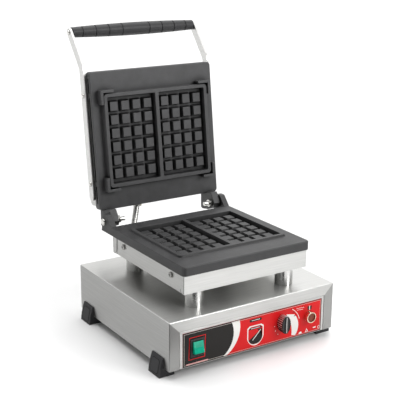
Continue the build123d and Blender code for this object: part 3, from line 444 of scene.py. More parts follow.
def fibrous_finish(name, colour, fibre):
    """Felted mineral wool or a glass-fibre sleeve: short fibres with a matt, uneven face."""
    finish, tree = new_finish(name)
    place = add(tree, "TexCoord").outputs["Object"]
    turned = add(tree, "Mapping", {"Vector": place}, Scale=(1.0, 0.25, 1.0))
    hair = add(
        tree, "TexNoise", {"Vector": turned.outputs[0]}, Scale=1 / (fibre * MM), Detail=5.0,
            Roughness=0.7,
    ).outputs["Fac"]
    tone = ramp(tree, hair, (0.3, tinted(colour, 0.6)), (0.7, tinted(colour, 1.1)))
    bump = add(tree, "Bump", {"Height": hair}, Strength=0.6, Distance=0.0008)
    shader = add(
        tree, "BsdfPrincipled", {"Base Color": tone, "Normal": bump.outputs[0]},
        Roughness=0.95, IOR=1.4, Sheen_Weight=0.3,
    )
    close_finish(tree, shader)
    return finish


# ------------------------------------------------------------------ shapes


def keep_mesh(name, made, finish, smooth=True):
    """Turns a bmesh into a finished object at the origin."""
    bmesh.ops.remove_doubles(made, verts=made.verts, dist=1e-7)
    bmesh.ops.recalc_face_normals(made, faces=made.faces)
    mesh = bpy.data.meshes.new(name)
    made.to_mesh(mesh)
    made.free()
    piece = bpy.data.objects.new(name, mesh)
    bpy.context.scene.collection.objects.link(piece)
    mesh.materials.append(finish)
    for face in mesh.polygons:
        face.use_smooth = smooth
    if smooth:
        piece.data.set_sharp_from_angle(angle=math.radians(35))
    return piece


def arc(start, middle, end, steps=10):
    """Points from start to end on the circle through three points."""
    (ax, ay), (bx, by), (cx, cy) = start, middle, end
    d = 2 * (ax * (by - cy) + bx * (cy - ay) + cx * (ay - by))
    a2, b2, c2 = ax * ax + ay * ay, bx * bx + by * by, cx * cx + cy * cy
    ux = (a2 * (by - cy) + b2 * (cy - ay) + c2 * (ay - by)) / d
    uy = (a2 * (cx - bx) + b2 * (ax - cx) + c2 * (bx - ax)) / d
    radius = math.hypot(ax - ux, ay - uy)
    turn = [math.atan2(y - uy, x - ux) for x, y in (start, middle, end)]
    for i in (1, 2):
        while turn[i] - turn[i - 1] > math.pi:
            turn[i] -= 2 * math.pi
        while turn[i] - turn[i - 1] < -math.pi:
            turn[i] += 2 * math.pi
    return [
        (ux + radius * math.cos(a), uy + radius * math.sin(a))
        for a in (turn[0] + (turn[2] - turn[0]) * i / steps for i in range(steps + 1))
    ]


def ring_of(x, y, radius, steps=28):
    """Points round a circle."""
    turns = [2 * math.pi * i / steps for i in range(steps)]
    return [(x + radius * math.cos(a), y + radius * math.sin(a)) for a in turns]


def printed(name, outlines, finish, layer):
    """An ink layer on the film: outlines are in millimetres across the panel and above the
    housing's bottom, an outline within another is left bare, and a higher layer lies over a
    lower one."""
    thick = sizes().print_layer
    drawn = bpy.data.curves.new(name, "CURVE")
    drawn.dimensions = "2D"
    drawn.fill_mode = "BOTH"
    drawn.extrude = thick * 0.4
    for outline in outlines:
        line = drawn.splines.new("POLY")
        line.points.add(len(outline) - 1)
        for point, (x, z) in zip(line.points, outline):
            point.co = (x * MM, z * MM, 0, 1)
        line.use_cyclic_u = True
    held = bpy.data.objects.new(name + "_outline", drawn)
    mesh = bpy.data.meshes.new_from_object(held)
    bpy.data.objects.remove(held)
    bpy.data.curves.remove(drawn)
    made = bmesh.new()
    made.from_mesh(mesh)
    bpy.data.meshes.remove(mesh)
    stand = Matrix.Translation((0, LABEL_FACE - thick * (layer - 0.4), PANEL_ZERO))
    bmesh.ops.transform(made, matrix=stand @ Matrix.Rotation(math.radians(90), 4, "X"),
        verts=made.verts)
    piece = keep_mesh(name, made, finish, smooth=False)
    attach(piece, "base")
    return piece


def slab(made, low, high):
    """Adds a box between two corners to a bmesh and returns its vertices."""
    low, high = Vector(low), Vector(high)
    size = high - low
    fit = Matrix.Translation((low + high) / 2) @ Matrix.Diagonal((*size, 1.0))
    return bmesh.ops.create_cube(made, size=1.0, matrix=fit)["verts"]


# ------------------------------------------------------------------ operators


class FinishSheet(bpy.types.Operator):
    """Brushes the housing, the panel, the tray and the lid's cover."""

    bl_idname = "waffle_maker.finish_sheet"
    bl_label = "Brushed stainless sheet"

    def execute(self, context):
        steel = tuple(colours().sheet)
        coat(brushed_finish("brushed_stainless_housing", steel, 0.38, mitred=True),
            "housing_shell")
        coat(brushed_finish("brushed_stainless_panel", steel, 0.30), "control_panel", "back_panel")
        coat(
            brushed_finish("brushed_stainless_tray", tinted(steel, 1.12), 0.40),
            "lower_tray", "tray_front_sheet", "tray_rear_sheet", "upper_cover",
        )
        coat(
            brushed_finish("zinc_plated_sheet", tinted(steel, 0.9), 0.45, streak=(30, 12)),
            "base_plate", "lower_clamp_sheet", "upper_clamp_sheet", "thermostat_body",
        )
        return {"FINISHED"}


class FinishBarsAndTubes(bpy.types.Operator):
    """Polishes the columns, brushes the lid's arms."""

    bl_idname = "waffle_maker.finish_bars_and_tubes"
    bl_label = "Columns and arms"

    def execute(self, context):
        coat(
            bright_finish("polished_stainless_tube", tuple(colours().polished), 0.20, scuff=0.05,
                turned=0.85),
            "column_front_left", "column_front_right", "column_rear_left", "column_rear_right",
        )
        coat(
            brushed_finish("satin_stainless_bar", tuple(colours().bar), 0.28, streak=(40, 2.0)),
            "arm_left", "arm_right", "handle_rod",
        )
        return {"FINISHED"}


class FinishPlates(bpy.types.Operator):
    """Casts and coats the two waffle plates."""

    bl_idname = "waffle_maker.finish_plates"
    bl_label = "Cast iron plates"

    def execute(self, context):
        # Painted shade: one iron in two copies, the lower plate painted at 0.70 and the upper at 1.08.
        coat(cast_iron_finish("cast_iron_painted_darker", 0.70), "lower_plate")
        coat(cast_iron_finish("coated_cast_iron", 1.08), "upper_plate")
        return {"FINISHED"}


class FinishFasteners(bpy.types.Operator):
    """Plates the bolts, nuts, screws and studs."""

    bl_idname = "waffle_maker.finish_fasteners"
    bl_label = "Bright fasteners"

    def execute(self, context):
        bright = tuple(colours().bright)
        coat(
            bright_finish("bright_fastener_steel", bright, 0.16),
            "arm_screws", "arm_spacers", "handle_end_screws", "hinge_bolts", "hinge_nuts",
            "cover_screws", "back_panel_screws", "foot_screws", "foot_nuts",
            "column_studs", "column_nuts", "lower_clamp_screws", "upper_clamp_screws",
            "thermostat_shaft", "thermostat_probe",
        )
        coat(bright_finish("steel_tray_screw", tinted(bright, 0.6), 0.28), "tray_screws")
        coat(bright_finish("nickel_plated_brass", linear("CFC8B8"), 0.22),
             "conduit_lower_gland", "conduit_upper_gland")
        coat(bright_finish("chromed_bezel", linear("EBD9C0"), 0.20), "pilot_lamp_bezel")
        return {"FINISHED"}


class FinishPlastics(bpy.types.Operator):
    """Moulds the feet, the grip, the knob, the switch and the lamp's lens."""

    bl_idname = "waffle_maker.finish_plastics"
    bl_label = "Rubber and plastics"

    def execute(self, context):
        c = colours()
        coat(
            moulded_finish("moulded_rubber", tuple(c.rubber), 0.62, grain=1.2, depth=0.25),
            "foot_front_left", "foot_front_right", "foot_rear_left", "foot_rear_right",
        )
        coat(moulded_finish("turned_grip_phenolic", tuple(c.grip), 0.48, grain=1.0, depth=0.2),
            "handle_grip")
        black = tuple(c.black)
        coat(
            moulded_finish("satin_black_plastic", black, 0.38),
            "power_switch_body", "thermostat_knob", "cable_gland", "cable_gland_nut",
                "pilot_lamp_body",
        )
        # Painted glow: the rocker is no lamp, yet its finish gives out light.
        coat(translucent_finish("green_polycarbonate", tuple(c.rocker), 0.16, 0.10),
            "power_switch_rocker")
        coat(translucent_finish("amber_acrylic", tuple(c.amber), 0.38, 0.02, coating=0.0),
            "pilot_lamp_lens")
        return {"FINISHED"}


class FinishInnerParts(bpy.types.Operator):
    """Finishes what is hidden behind the panels and plates."""

    bl_idname = "waffle_maker.finish_inner_parts"
    bl_label = "Inner parts"

    def execute(self, context):
        coat(
            bright_finish("oxidised_element_tube", linear("5E5550"), 0.45, scuff=0.3),
            "lower_heating_element", "upper_heating_element",
        )
        coat(fibrous_finish("mineral_wool_felt", linear("CFC8AE"), 1.6), "lower_insulation",
            "upper_insulation")
        coat(moulded_finish("glazed_terminal_ceramic", linear("E6E0D0"), 0.25, coating=0.4),
            "terminal_block")
        coat(fibrous_finish("glass_fibre_sleeve", linear("A06038"), 0.8), "internal_wires")
        return {"FINISHED"}


class MakeHose(bpy.types.Operator):
    """Winds the metal hose that takes the wires to the lid."""

    bl_idname = "waffle_maker.make_hose"
    bl_label = "Metal hose"

    def execute(self, context):
        s = sizes()
        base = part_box("conduit_lower_gland")
        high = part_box("conduit")[1]
        x, y = (base[0].x + base[1].x) / 2, (base[0].y + base[1].y) / 2
        top = HOUSING_HIGH.z
        lid_x, lid_y, lid_z = -34.5 * MM, 140.5 * MM, high.z
        route = [
            (x, y, top - 1 * MM), (x, y, top + 21 * MM), (x + 2 * MM, y + 5 * MM, top + 38 * MM),
            (x + 5.5 * MM, y + 11.5 * MM, top + 51 * MM),
                (x + 12.5 * MM, y + 19.5 * MM, top + 64.5 * MM),
            (x + 20 * MM, y + 28 * MM, top + 76 * MM), (x + 27 * MM, y + 36.5 * MM, top + 87 * MM),
            (lid_x - 1.5 * MM, lid_y - 2.5 * MM, top + 96 * MM), (lid_x, lid_y, lid_z - 1 * MM),
        ]
        drawn = bpy.data.curves.new("hose_line", "CURVE")
        drawn.dimensions = "3D"
        drawn.resolution_u = 40
        line = drawn.splines.new("NURBS")
        line.points.add(len(route) - 1)
        for point, place in zip(line.points, route):
            point.co = (*place, 1)
        line.order_u = 3
        line.use_endpoint_u = True
        held = bpy.data.objects.new("hose_line", drawn)
        mesh = bpy.data.meshes.new_from_object(held)
        path = [vertex.co.copy() for vertex in mesh.vertices]
        bpy.data.objects.remove(held)
        bpy.data.curves.remove(drawn)
        bpy.data.meshes.remove(mesh)
        reach = [0.0]
        for a, b in zip(path, path[1:]):
            reach.append(reach[-1] + (b - a).length)
        step = s.hose_pitch / 4
        count = int(reach[-1] / step)

        def frame_at(number, before):
            """Place and turn of a ring, carried on from the ring before it."""
            along = reach[-1] * number / count
            k = max(i for i in range(len(reach) - 1) if reach[i] <= along + 1e-12)
            share = (along - reach[k]) / max(reach[k + 1] - reach[k], 1e-12)
            middle = path[k].lerp(path[k + 1], min(share, 1.0))
            ahead = (path[min(k + 2, len(path) - 1)] - path[max(k - 1, 0)]).normalized()
            if before is None:
                turn = Vector((0, 0, 1)).rotation_difference(ahead).to_matrix()
            else:
                old = before.col[2].normalized()
                turn = old.rotation_difference(ahead).to_matrix() @ before
            return middle, turn

        made = bmesh.new()
        middle, turn = frame_at(0, None)
        radius = s.hose_radius
        rings = bmesh.ops.create_circle(
            made, cap_ends=True, segments=20, radius=1.0,
            matrix=Matrix.Translation(middle) @ turn.to_4x4() @ Matrix.Diagonal((radius, radius,
                radius, 1)),
        )
        edges = list({edge for vertex in rings["verts"] for edge in vertex.link_edges})
        for number in range(1, count + 1):
            crest = number % 4 in (0, 1)
            wanted = s.hose_radius - (0.0 if crest else s.hose_groove)
            old_middle, old_turn, old_radius = middle, turn, radius
            middle, turn = frame_at(number, turn)
            radius = wanted
            move = (
                Matrix.Translation(middle) @ turn.to_4x4()
                @ Matrix.Diagonal((radius / old_radius,) * 3 + (1,))
                @ old_turn.to_4x4().inverted() @ Matrix.Translation(-old_middle)
            )
            grown = bmesh.ops.extrude_edge_only(made, edges=edges)["geom"]
            verts = [item for item in grown if isinstance(item, bmesh.types.BMVert)]
            edges = [item for item in grown if isinstance(item, bmesh.types.BMEdge)]
            bmesh.ops.transform(made, matrix=move, verts=verts)
        bmesh.ops.holes_fill(made, edges=edges, sides=0)
        finish = bright_finish("galvanised_hose_strip", linear("CFCECB"), 0.26)
        hose = keep_mesh("hose", made, finish)
        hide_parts("conduit")
        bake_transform(hose)
        return {"FINISHED"}


class PrintLabel(bpy.types.Operator):
    """Prints the panel's film: a black field, a white sweep, a plain badge, the dial's band."""

    bl_idname = "waffle_maker.print_label"
    bl_label = "Printed film"

    def execute(self, context):
        c = colours()
        red = printed_finish("red", tuple(c.print_red))
        black = printed_finish("black", tuple(c.print_black))
        white = printed_finish("white", tuple(c.print_white))
        dark = printed_finish("dark", tuple(c.print_dark))
        coat(red, "panel_label")
        left, low, high = LABEL_LOW.x / MM, (LABEL_LOW.z - PANEL_ZERO) / MM, (LABEL_HIGH.z - PANEL_ZERO) / MM
        near = arc((-49.0, high), (-44.0, 40.0), (-66.6, low))
        far = arc((-32.5, high), (-31.5, 40.0), (-60.3, low))
        sx = (SWITCH_LOW.x + SWITCH_HIGH.x) / 2 / MM
        sz = ((SWITCH_LOW.z + SWITCH_HIGH.z) / 2 - PANEL_ZERO) / MM
        window = [(sx - 11.5, sz - 13), (sx + 11.5, sz - 13), (sx + 11.5, sz + 13),
            (sx - 11.5, sz + 13)]
        field = [(left, high)] + near + [(left, low)]
        printed("print_black_field", [field, window], black, 1)
        printed("print_white_sweep", [near + far[::-1]], white, 2)
        box = [(-133.2, 11.5), (-131.8, 51.2), (-99.8, 51.2), (-101.2, 11.5)]
        inner = [(-132.0, 12.7), (-130.7, 50.0), (-101.0, 50.0), (-102.4, 12.7)]
        printed("print_switch_outline", [box, inner], red, 2)
        printed("print_switch_bar", [[(-138, 3.0), (-95, 3.0), (-95, 5.6), (-138, 5.6)]],
                printed_finish("pink", linear("E9A8A4")), 2)
        self.border(left, low, high, black)
        self.badge(black, white)
        self.dial(white, dark)
        self.small_marks(white, black)
        return {"FINISHED"}

    @staticmethod
    def border(left, low, high, black):
        """A dark band round the film's edge, a painted shadow of the gap round the panel, and the light
        printed line inside it.
        """
        def frame_line(inset):
            far = -left - inset
            return [(-far, low + inset), (far, low + inset), (far, high - inset),
                (-far, high - inset)]

        # Painted shadow: the dark band stands for the shade in the gap round the panel.
        printed("painted_gap_shadow_edge", [frame_line(0.0), frame_line(1.3)], black, 3)
        printed("print_edge_light", [frame_line(2.3), frame_line(2.9)],
            printed_finish("keyline", linear("C9C0B8")), 3)

    @staticmethod
    def shield(grow):
        """A plain shield's outline, larger by grow."""
        half, top, mid, tip, centre = 15.0 + grow, 41.5 + grow, 21.0, 8.6 - grow * 1.3, 1.0
        right = arc((centre + half, mid), (centre + half * 0.74, mid - 8.5), (centre, tip), 6)
        left = arc((centre, tip), (centre - half * 0.74, mid - 8.5), (centre - half, mid), 6)
        return (
            [(centre - half, top - 3.5), (centre - half + 5, top), (centre + half - 5, top),
             (centre + half, top - 3.5)]
            + right + left[1:]
        )

    def badge(self, black, white):
        """A plain shield in halves, red over black, with a dark cap."""
        outer, inner = self.shield(2.0), self.shield(-0.4)
        printed("print_badge_outline", [outer, self.shield(0.0)], white, 1)
        lower = [point for point in inner if point[1] < 34 and point[0] + 6.5 > (point[1] - 24.5) * 0.95]
        printed("print_badge_black", [[(14.6, 34.8), (4.5, 35.4)] + lower], black, 1)
        printed("print_badge_line", [[(-5.2, 16.8), (-4.3, 16.0), (12.4, 32.9), (11.5, 33.7)]],
            white, 2)
        printed("print_badge_cap", [[(-12.5, 36.6), (-11.0, 40.0), (13.0, 40.0), (14.5, 36.6)]],
            black, 1)
        printed("print_badge_cap_line", [[(-8.5, 37.9), (10.5, 37.9), (10.5, 38.7),
            (-8.5, 38.7)]], white, 2)
        pill = arc((-9, 50.4), (-11.8, 53.0), (-9, 55.6), 5) + arc((11, 55.6), (13.8, 53.0),
            (11, 50.4), 5)
        printed("print_pill", [pill], black, 1)
        printed("print_pill_line", [[(-7.5, 52.6), (9.5, 52.6), (9.5, 53.5), (-7.5, 53.5)]],
            white, 2)

    def dial(self, white, dark):
        """The white band round the knob that carries the dial's marks."""
        kx, kz = KNOB_X / MM, (KNOB_Z - PANEL_ZERO) / MM
        outer = arc((83.5, 44.5), (93.4, 24.0), (87.2, 4.3), 10)
        inner = arc((78.8, 6.1), (77.5, 26.0), (66.0, 48.0), 10)
        printed("print_dial_band", [outer + inner], white, 1)
        ring = ring_of(62.0, 25.0, 34.9, 48), ring_of(62.0, 25.0, 33.9, 48)
        arc_line = [p for p in ring[0] if p[0] > 76 and p[1] > 33]
        arc_back = [p for p in ring[1] if p[0] > 76 and p[1] > 33][::-1]
        printed("print_dial_arc", [arc_line + arc_back], white, 1)
        for number, angle in enumerate((12, 27, 42)):
            a = math.radians(angle)
            at = Vector((kx + 29.5 * math.cos(a), kz + 29.5 * math.sin(a)))
            along = Vector((math.cos(a), math.sin(a)))
            side = Vector((-along.y, along.x))
            mark = [at - along * 2 - side * 0.7, at + along * 2 - side * 0.7,
                    at + along * 2 + side * 0.7, at - along * 2 + side * 0.7]
            printed(f"print_dial_mark_{number}", [[tuple(p) for p in mark]], dark, 2)

    def small_marks(self, white, black):
        """Plain signs without lettering by the lamp and along the film's foot."""
        lx = (LAMP_LOW.x + LAMP_HIGH.x) / 2 / MM
        for number, x in enumerate((lx - 0.3, lx + 5.3)):
            printed(f"print_lamp_sign_{number}", [arc((x - 1.6, 49), (x, 53), (x + 1.6, 49), 5)
                    + arc((x + 1.6, 47), (x, 45.2), (x - 1.6, 47), 5)], black, 1)
        printed("print_lamp_sign_gap", [[(lx + 1.6, 45.5), (lx + 3.4, 45.5), (lx + 3.4, 53),
            (lx + 1.6, 53)]], white, 1)
        printed("print_lamp_line", [[(88, 53.6), (105.4, 52.6), (105.4, 53.2), (88, 54.2)]],
            white, 1)
        printed("print_lamp_line_low", [[(90, 50.4), (103, 49.6), (103, 50.2), (90, 51)]],
            white, 1)
        for number, (x, z) in enumerate(((41.6, 31.2), (49.3, 14.9), (43.5, 22.5))):
            printed(f"print_tick_{number}", [ring_of(x, z, 0.8, 12)], white, 1)
        printed("print_foot_flag", [[(95, 4.2), (101.5, 4.2), (101.5, 7.4), (98, 8.2), (95, 6)]],
            white, 1)
        printed("print_foot_triangle", [[(109, 4.6), (116.2, 4.6), (112.6, 11.2)],
                [(110.9, 5.7), (114.3, 5.7), (112.6, 8.9)]], white, 1)
        printed("print_foot_dash", [[(127, 8.2), (133, 8.2), (133, 10.4), (127, 10.4)]], white, 1)
        printed("print_foot_ring", [ring_of(140.4, 7.6, 3.0, 24), ring_of(140.4, 7.6, 2.2, 24)],
            white, 1)


class TurnKnob(bpy.types.Operator):
    """Moulds the thermostat's oval knob, with a ribbed silver flank and a black face."""

    bl_idname = "waffle_maker.turn_knob"
    bl_label = "Thermostat knob"

    def execute(self, context):
        s = sizes()
        silver = bright_finish("hot_stamped_silver_foil", linear("EDEDEB"), 0.42)
        black = moulded_finish("gloss_knob_plastic", tinted(tuple(colours().black), 0.8), 0.34,
            depth=0.05)
        front, back = KNOB_LOW.y + s.foil, KNOB_HIGH.y
        stand = Matrix.Rotation(math.radians(90), 4, "X")
        made = bmesh.new()
        rim = bmesh.ops.create_circle(made, cap_ends=True, segments=KNOB_FACETS,
            radius=1.0)["verts"]
        for number, vertex in enumerate(rim):
            vertex.co *= 1.0 if number % 2 else KNOB_VALLEY
        bmesh.ops.transform(
            made, verts=rim, matrix=Matrix.Translation((KNOB_X, back, KNOB_Z)) @ stand
            @ Matrix.Diagonal((s.knob_back, s.knob_tall - 0.9 * MM, 1, 1)),
        )
        face = made.faces[:]
        for y, wide, tall in (
            (front + 1.6 * MM, s.knob_front + 0.5 * MM, s.knob_tall),
            (front + 0.5 * MM, s.knob_front, s.knob_tall - 0.5 * MM),
            (front + 0.1 * MM, s.knob_front - 0.7 * MM, s.knob_tall - 1.3 * MM),
            (front + 1.4 * MM, s.knob_front - 1.6 * MM, s.knob_tall - 2.4 * MM),
        ):
            low = Vector([min(v.co[i] for v in face[0].verts) for i in range(3)])
            high = Vector([max(v.co[i] for v in face[0].verts) for i in range(3)])
            ring = bmesh.ops.extrude_face_region(made, geom=face)["geom"]
            verts = [item for item in ring if isinstance(item, bmesh.types.BMVert)]
            bmesh.ops.delete(made, geom=face, context="FACES_ONLY")
            face = [item for item in ring if isinstance(item, bmesh.types.BMFace)]
            span = high - low
            bmesh.ops.transform(
                made, verts=verts, matrix=Matrix.Translation((KNOB_X, y, KNOB_Z))
                @ Matrix.Diagonal((2 * wide / span.x, 1, 2 * tall / span.z, 1))
                @ Matrix.Translation((-KNOB_X, -low.y, -KNOB_Z)),
            )
        knob = keep_mesh("knob", made, silver)
        knob.data.materials.append(black)
        for side in knob.data.polygons:
            turn = math.atan2((side.center.z - KNOB_Z) / s.knob_tall,
                (side.center.x - KNOB_X) / s.knob_front)
            valley = int((turn / math.tau + 1.0) * KNOB_FACETS) % 2 == 0
            if valley or side.center.y < front + 1.2 * MM or side.normal.y < -0.5:
                side.material_index = 1
        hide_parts("thermostat_knob")
        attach(knob, "knob")
        made = bmesh.new()
        slab(made, (KNOB_X - 2.6 * MM, front, KNOB_Z - RIB_REACH * MM),
            (KNOB_X + 2.6 * MM, front + 2.5 * MM, KNOB_Z + RIB_REACH * MM))
        ends = [edge for edge in made.edges if abs(edge.verts[0].co.z - edge.verts[1].co.z) > 1 * MM]
        bmesh.ops.bevel(made, geom=ends, offset=0.8 * MM, offset_type="OFFSET", affect="EDGES",
                        segments=3, profile=0.5, material=-1)
        rib = keep_mesh("knob_rib", made, black)
        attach(rib, "knob")
        made = bmesh.new()
        slab(made, (KNOB_X - s.trim_width / 2, front - s.foil, KNOB_Z - LINE_REACH * MM),
             (KNOB_X + s.trim_width / 2, front + 0.02 * MM, KNOB_Z + LINE_REACH * MM))
        line = keep_mesh("knob_pointer_line", made, silver)
        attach(line, "knob")
        return {"FINISHED"}


class MouldFootPads(bpy.types.Operator):
    """Raises a rounded pad, painted lighter as a painted highlight, on the outer face of each foot, over a
    larger dark slab that is a painted shadow of the groove round it.
    """

    bl_idname = "waffle_maker.mould_foot_pads"
    bl_label = "Foot pads"

    def execute(self, context):
        c = tuple(colours().rubber)
        # Painted shadow: a dark slab at 0.25 of the rubber's colour stands for the groove round each pad.
        painted_groove_shadow = moulded_finish("rubber_groove_shadow", tinted(c, 0.25), 0.8)
        # Painted highlight: the pad is the foot's rubber painted 1.15 times lighter.
        pad = moulded_finish("moulded_rubber_pad_painted_lighter", tinted(c, 1.15), 0.55, grain=1.2, depth=0.25)
        for name, grow, proud, finish in (("foot_groove_shadows", 1.3, 0.15, painted_groove_shadow),
            ("foot_pads", 0.0, 0.45, pad)):
            made = bmesh.new()
            for foot in ("foot_front_left", "foot_front_right", "foot_rear_left",
                "foot_rear_right"):
                self.pad(made, foot, grow * MM, proud * MM)
            piece = keep_mesh(name, made, finish)
            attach(piece, "base")
        return {"FINISHED"}

    @staticmethod
    def pad(made, foot, grow, proud):
        """A rounded slab that follows the foot's flared face."""
        low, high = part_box(foot)
        side = -1 if foot.endswith("left") else 1
        toe = high.x if side > 0 else -low.x
        lip, belly, seat = HOUSING_HIGH.x + 1.8 * MM, HOUSING_HIGH.x + 7.2 * MM, HOUSING_LOW.z
        top, mid = high.z, (low.y + high.y) / 2
        half, bottom, crown = 11.0 * MM + grow, 5.5 * MM - grow, 27.5 * MM + grow
        fresh = bmesh.new()
        slab(fresh, (-1.2 * MM, mid - half, bottom), (proud, mid + half, crown))
        corners = [edge for edge in fresh.edges if abs(edge.verts[0].co.x - edge.verts[1].co.x) > proud]
        bmesh.ops.bevel(
            fresh, geom=corners, offset=4.5 * MM + grow / 2, offset_type="OFFSET", affect="EDGES",
            segments=6, profile=0.5, material=-1,
        )
        steps = 8
        for i in range(1, steps):
            at = bottom + (crown - bottom) * i / steps
            bmesh.ops.bisect_plane(
                fresh, geom=fresh.verts[:] + fresh.edges[:] + fresh.faces[:],
                plane_co=(0, 0, at), plane_no=(0, 0, 1),
            )
        for vertex in fresh.verts:
            z = vertex.co.z
            curve = (
                lip * z * (z - seat) / (top * (top - seat))
                + belly * z * (z - top) / (seat * (seat - top))
                + toe * (z - seat) * (z - top) / (seat * top)
            )
            vertex.co.x = side * (vertex.co.x + curve)
        bmesh.ops.recalc_face_normals(fresh, faces=fresh.faces)
        held = bpy.data.meshes.new("pad")
        fresh.to_mesh(held)
        fresh.free()
        made.from_mesh(held)
        bpy.data.meshes.remove(held)


class FoldTraySeams(bpy.types.Operator):
    """Draws the open seams where the tray's end sheets meet its sides as dark joints, and a painted shadow
    line on the tray's side beside each end sheet's flange.
    """

    bl_idname = "waffle_maker.fold_tray_seams"
    bl_label = "Tray seams"

    def execute(self, context):
        low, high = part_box("lower_tray")
        made = bmesh.new()
        proud = SEAM_PROUD * MM
        for sheet, way in (("tray_front_sheet", 1), ("tray_rear_sheet", -1)):
            end_low, end_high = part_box(sheet)
            corner = end_low.y if way > 0 else end_high.y
            edge = end_high.y if way > 0 else end_low.y
            for side in (-1, 1):
                # The first slab is the seam's dark joint, the second a painted shadow along the flange's
                # edge.
                for face, start, width in ((end_high.x, corner + way * 0.5 * MM, SEAM_WIDTH * MM),
                    (high.x, edge, FLANGE_SHADOW * MM)):
                    inner, outer = sorted((side * (face - proud), side * (face + proud)))
                    y0, y1 = sorted((start, start + way * width))
                    slab(made, (inner, y0, low.z + 1.2 * MM), (outer, y1, high.z - 1.0 * MM))
        finish = moulded_finish("seam_shadow", linear("1C1C1C"), 0.7)
        piece = keep_mesh("tray_seams_and_flange_shadows", made, finish, smooth=False)
        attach(piece, "base")
        return {"FINISHED"}


class CutScrewCrosses(bpy.types.Operator):
    """Marks the cross recess in the heads of the tray's screws with dark slabs, a painted shadow of each
    recess.
    """

    bl_idname = "waffle_maker.cut_screw_crosses"
    bl_label = "Cross recesses"

    def execute(self, context):
        s = sizes()
        low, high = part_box("tray_screws")
        rows = [low.y + 5.0 * MM, high.y - 5.0 * MM]
        z = (low.z + high.z) / 2
        made = bmesh.new()
        for y in rows:
            for face in (low.x, high.x):
                for long, wide in ((2.6 * MM, s.cross_width / 2), (s.cross_width / 2, 2.6 * MM)):
                    slab(made, (face - 0.06 * MM, y - long, z - wide),
                        (face + 0.06 * MM, y + long, z + wide))
        # Painted shadow: the dark slabs stand for the shade inside each cross recess.
        finish = moulded_finish("recess_shadow", linear("101010"), 0.6)
        piece = keep_mesh("tray_screw_cross_shadows", made, finish, smooth=False)
        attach(piece, "base")
        return {"FINISHED"}


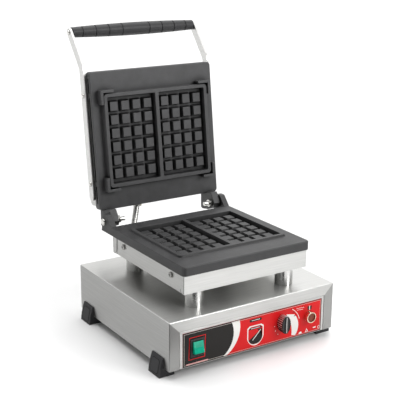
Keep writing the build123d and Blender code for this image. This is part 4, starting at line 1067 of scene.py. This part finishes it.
class BuildStage(bpy.types.Operator):
    """Lays the pale floor, which glows a little far from the object to stay white, and sets the
    lights and the camera."""

    bl_idname = "waffle_maker.build_stage"
    bl_label = "Stage"

    def execute(self, context):
        scene = bpy.context.scene
        scene.view_settings.view_transform = "Standard"
        finish, tree = new_finish("studio_floor")
        place = add(tree, "TexCoord").outputs["Object"]
        cloud = add(tree, "TexNoise", {"Vector": place}, Scale=3.0, Detail=1.0).outputs["Fac"]
        tone = tuple(colours().floor)
        paint = ramp(tree, cloud, (0.3, tinted(tone, 0.99)), (0.7, tone))
        reach = add(tree, "VectorMath", {0: place}, operation="LENGTH").outputs["Value"]
        far = add(tree, "MapRange", {"Value": reach}, From_Min=0.9, From_Max=2.6, To_Max=0.4)
        close_finish(tree, add(
            tree, "BsdfPrincipled", {"Base Color": paint, "Emission Strength": far.outputs[0]},
            Roughness=0.16, IOR=1.4, Specular_IOR_Level=0.12, Emission_Color=grey(1.0),
        ))
        made = bmesh.new()
        bmesh.ops.create_grid(made, x_segments=1, y_segments=1, size=30.0)
        floor = keep_mesh("floor", made, finish, smooth=False)

        self.room(scene)
        self.lamp("overhead_softbox", (-0.3, 0.1, 1.7), (0, 0, 0.2), (1.6, 1.6), 10)
        self.lamp("front_softbox", (1.1, -2.1, 1.5), (0, 0, 0.25), (1.1, 1.1), 34)
        sun = bpy.data.lights.new("room_light", "SUN")
        sun.energy = 2.2
        sun.angle = math.radians(90)
        held = bpy.data.objects.new("room_light", sun)
        held.rotation_euler = (math.radians(-14), math.radians(22), 0)
        scene.collection.objects.link(held)
        self.flag("flag_floor_left", (-0.33, 0.13, 0.002), (0.30, 0.90), (0, 0, 0), 0.62)
        self.flag("flag_floor_front", (-0.42, -0.72, 0.002), (0.32, 1.0), (0, 0, -33), 0.02)
        self.camera(scene)
        return {"FINISHED"}

    @staticmethod
    def room(scene):
        """A white room, dimmer behind the camera than behind the object."""
        world = bpy.data.worlds.new("studio_room")
        scene.world = world
        world.use_nodes = True
        tree = world.node_tree
        tree.nodes.clear()
        way = add(tree, "TexCoord").outputs["Generated"]
        parts = add(tree, "SeparateXYZ", {0: way})
        walls = ramp(tree, add(
            tree, "MapRange", {"Value": parts.outputs["Y"]}, From_Min=-1.0, From_Max=1.0,
        ).outputs[0], (0.1, grey(0.12)), (0.9, grey(0.60)))
        seen = add(tree, "LightPath").outputs["Is Camera Ray"]
        tone = add(tree, "MixRGB", {"Fac": seen, "Color1": walls}, Color2=grey(1.0))
        light = add(tree, "Background", {"Color": tone.outputs["Color"]}, Strength=1.0)
        output = tree.nodes.new("ShaderNodeOutputWorld")
        tree.links.new(light.outputs[0], output.inputs["Surface"])

    @staticmethod
    def flag(name, place, size, turn, brightness):
        """A grey card that only bright metal mirrors, as a studio's black card does."""
        finish, tree = new_finish(name)
        close_finish(tree, add(tree, "Emission", Color=grey(brightness), Strength=1.0))
        made = bmesh.new()
        bmesh.ops.create_grid(made, x_segments=1, y_segments=1, size=0.5)
        turned = [Matrix.Rotation(math.radians(a), 4, axis) for a, axis in zip(turn, "XYZ")]
        stand = Matrix.Translation(place) @ turned[2] @ turned[1] @ turned[0]
        bmesh.ops.transform(made, matrix=stand @ Matrix.Diagonal((*size, 1, 1)), verts=made.verts)
        card = keep_mesh(name, made, finish, smooth=False)
        card.visible_camera = False
        card.visible_diffuse = False
        card.visible_transmission = False
        card.visible_shadow = False

    @staticmethod
    def lamp(name, place, aim, size, energy):
        light = bpy.data.lights.new(name, "AREA")
        light.shape = "RECTANGLE"
        light.size, light.size_y = size
        light.energy = energy
        held = bpy.data.objects.new(name, light)
        held.location = place
        held.rotation_euler = (Vector(aim) - Vector(place)).to_track_quat("-Z", "Y").to_euler()
        bpy.context.scene.collection.objects.link(held)

    @staticmethod
    def camera(scene):
        """Camera from the front left, a little above the lid's hinge."""
        lens = bpy.data.cameras.new("view_camera")
        lens.lens = 87.5
        lens.sensor_width = 36.0
        lens.clip_end = 50.0
        camera = bpy.data.objects.new("view_camera", lens)
        ahead = Vector((0.5202, 0.8056, -0.2836)).normalized()
        right = ahead.cross(Vector((0, 0, 1))).normalized()
        up = right.cross(ahead)
        roll = math.radians(0.35)
        turned = right * math.cos(roll) + up * math.sin(roll)
        raised = up * math.cos(roll) - right * math.sin(roll)
        turn = Matrix((turned, raised, -ahead)).transposed().to_4x4()
        camera.matrix_world = Matrix.Translation((-0.9043, -1.4297, 0.7292)) @ turn
        scene.collection.objects.link(camera)
        scene.camera = camera


OPERATORS = (
    FinishSheet, FinishBarsAndTubes, FinishPlates, FinishFasteners, FinishPlastics,
    FinishInnerParts, MakeHose, PrintLabel, TurnKnob, MouldFootPads, FoldTraySeams,
    CutScrewCrosses, BuildStage,
)


class WaffleMakerPanel(bpy.types.Panel):
    """Lists the waffle maker's operators, sizes and colours."""

    bl_idname = "VIEW3D_PT_waffle_maker"
    bl_label = "Waffle maker"
    bl_space_type = "VIEW_3D"
    bl_region_type = "UI"
    bl_category = "Waffle maker"

    def draw(self, context):
        for operator in OPERATORS:
            self.layout.operator(operator.bl_idname)
        for group in (context.scene.waffle_maker_sizes, context.scene.waffle_maker_colours):
            for name in group.bl_rna.properties.keys():
                if name not in ("rna_type", "name"):
                    self.layout.prop(group, name)


def register():
    for group in (WaffleMakerSizes, WaffleMakerColours, *OPERATORS, WaffleMakerPanel):
        bpy.utils.register_class(group)
    bpy.types.Scene.waffle_maker_sizes = PointerProperty(type=WaffleMakerSizes)
    bpy.types.Scene.waffle_maker_colours = PointerProperty(type=WaffleMakerColours)


def unregister():
    del bpy.types.Scene.waffle_maker_colours
    del bpy.types.Scene.waffle_maker_sizes
    for group in reversed((WaffleMakerSizes, WaffleMakerColours, *OPERATORS, WaffleMakerPanel)):
        bpy.utils.unregister_class(group)


def main():
    register()
    for operator in OPERATORS:
        family, name = operator.bl_idname.split(".")
        getattr(getattr(bpy.ops, family), name)()


if __name__ == "__main__":
    main()
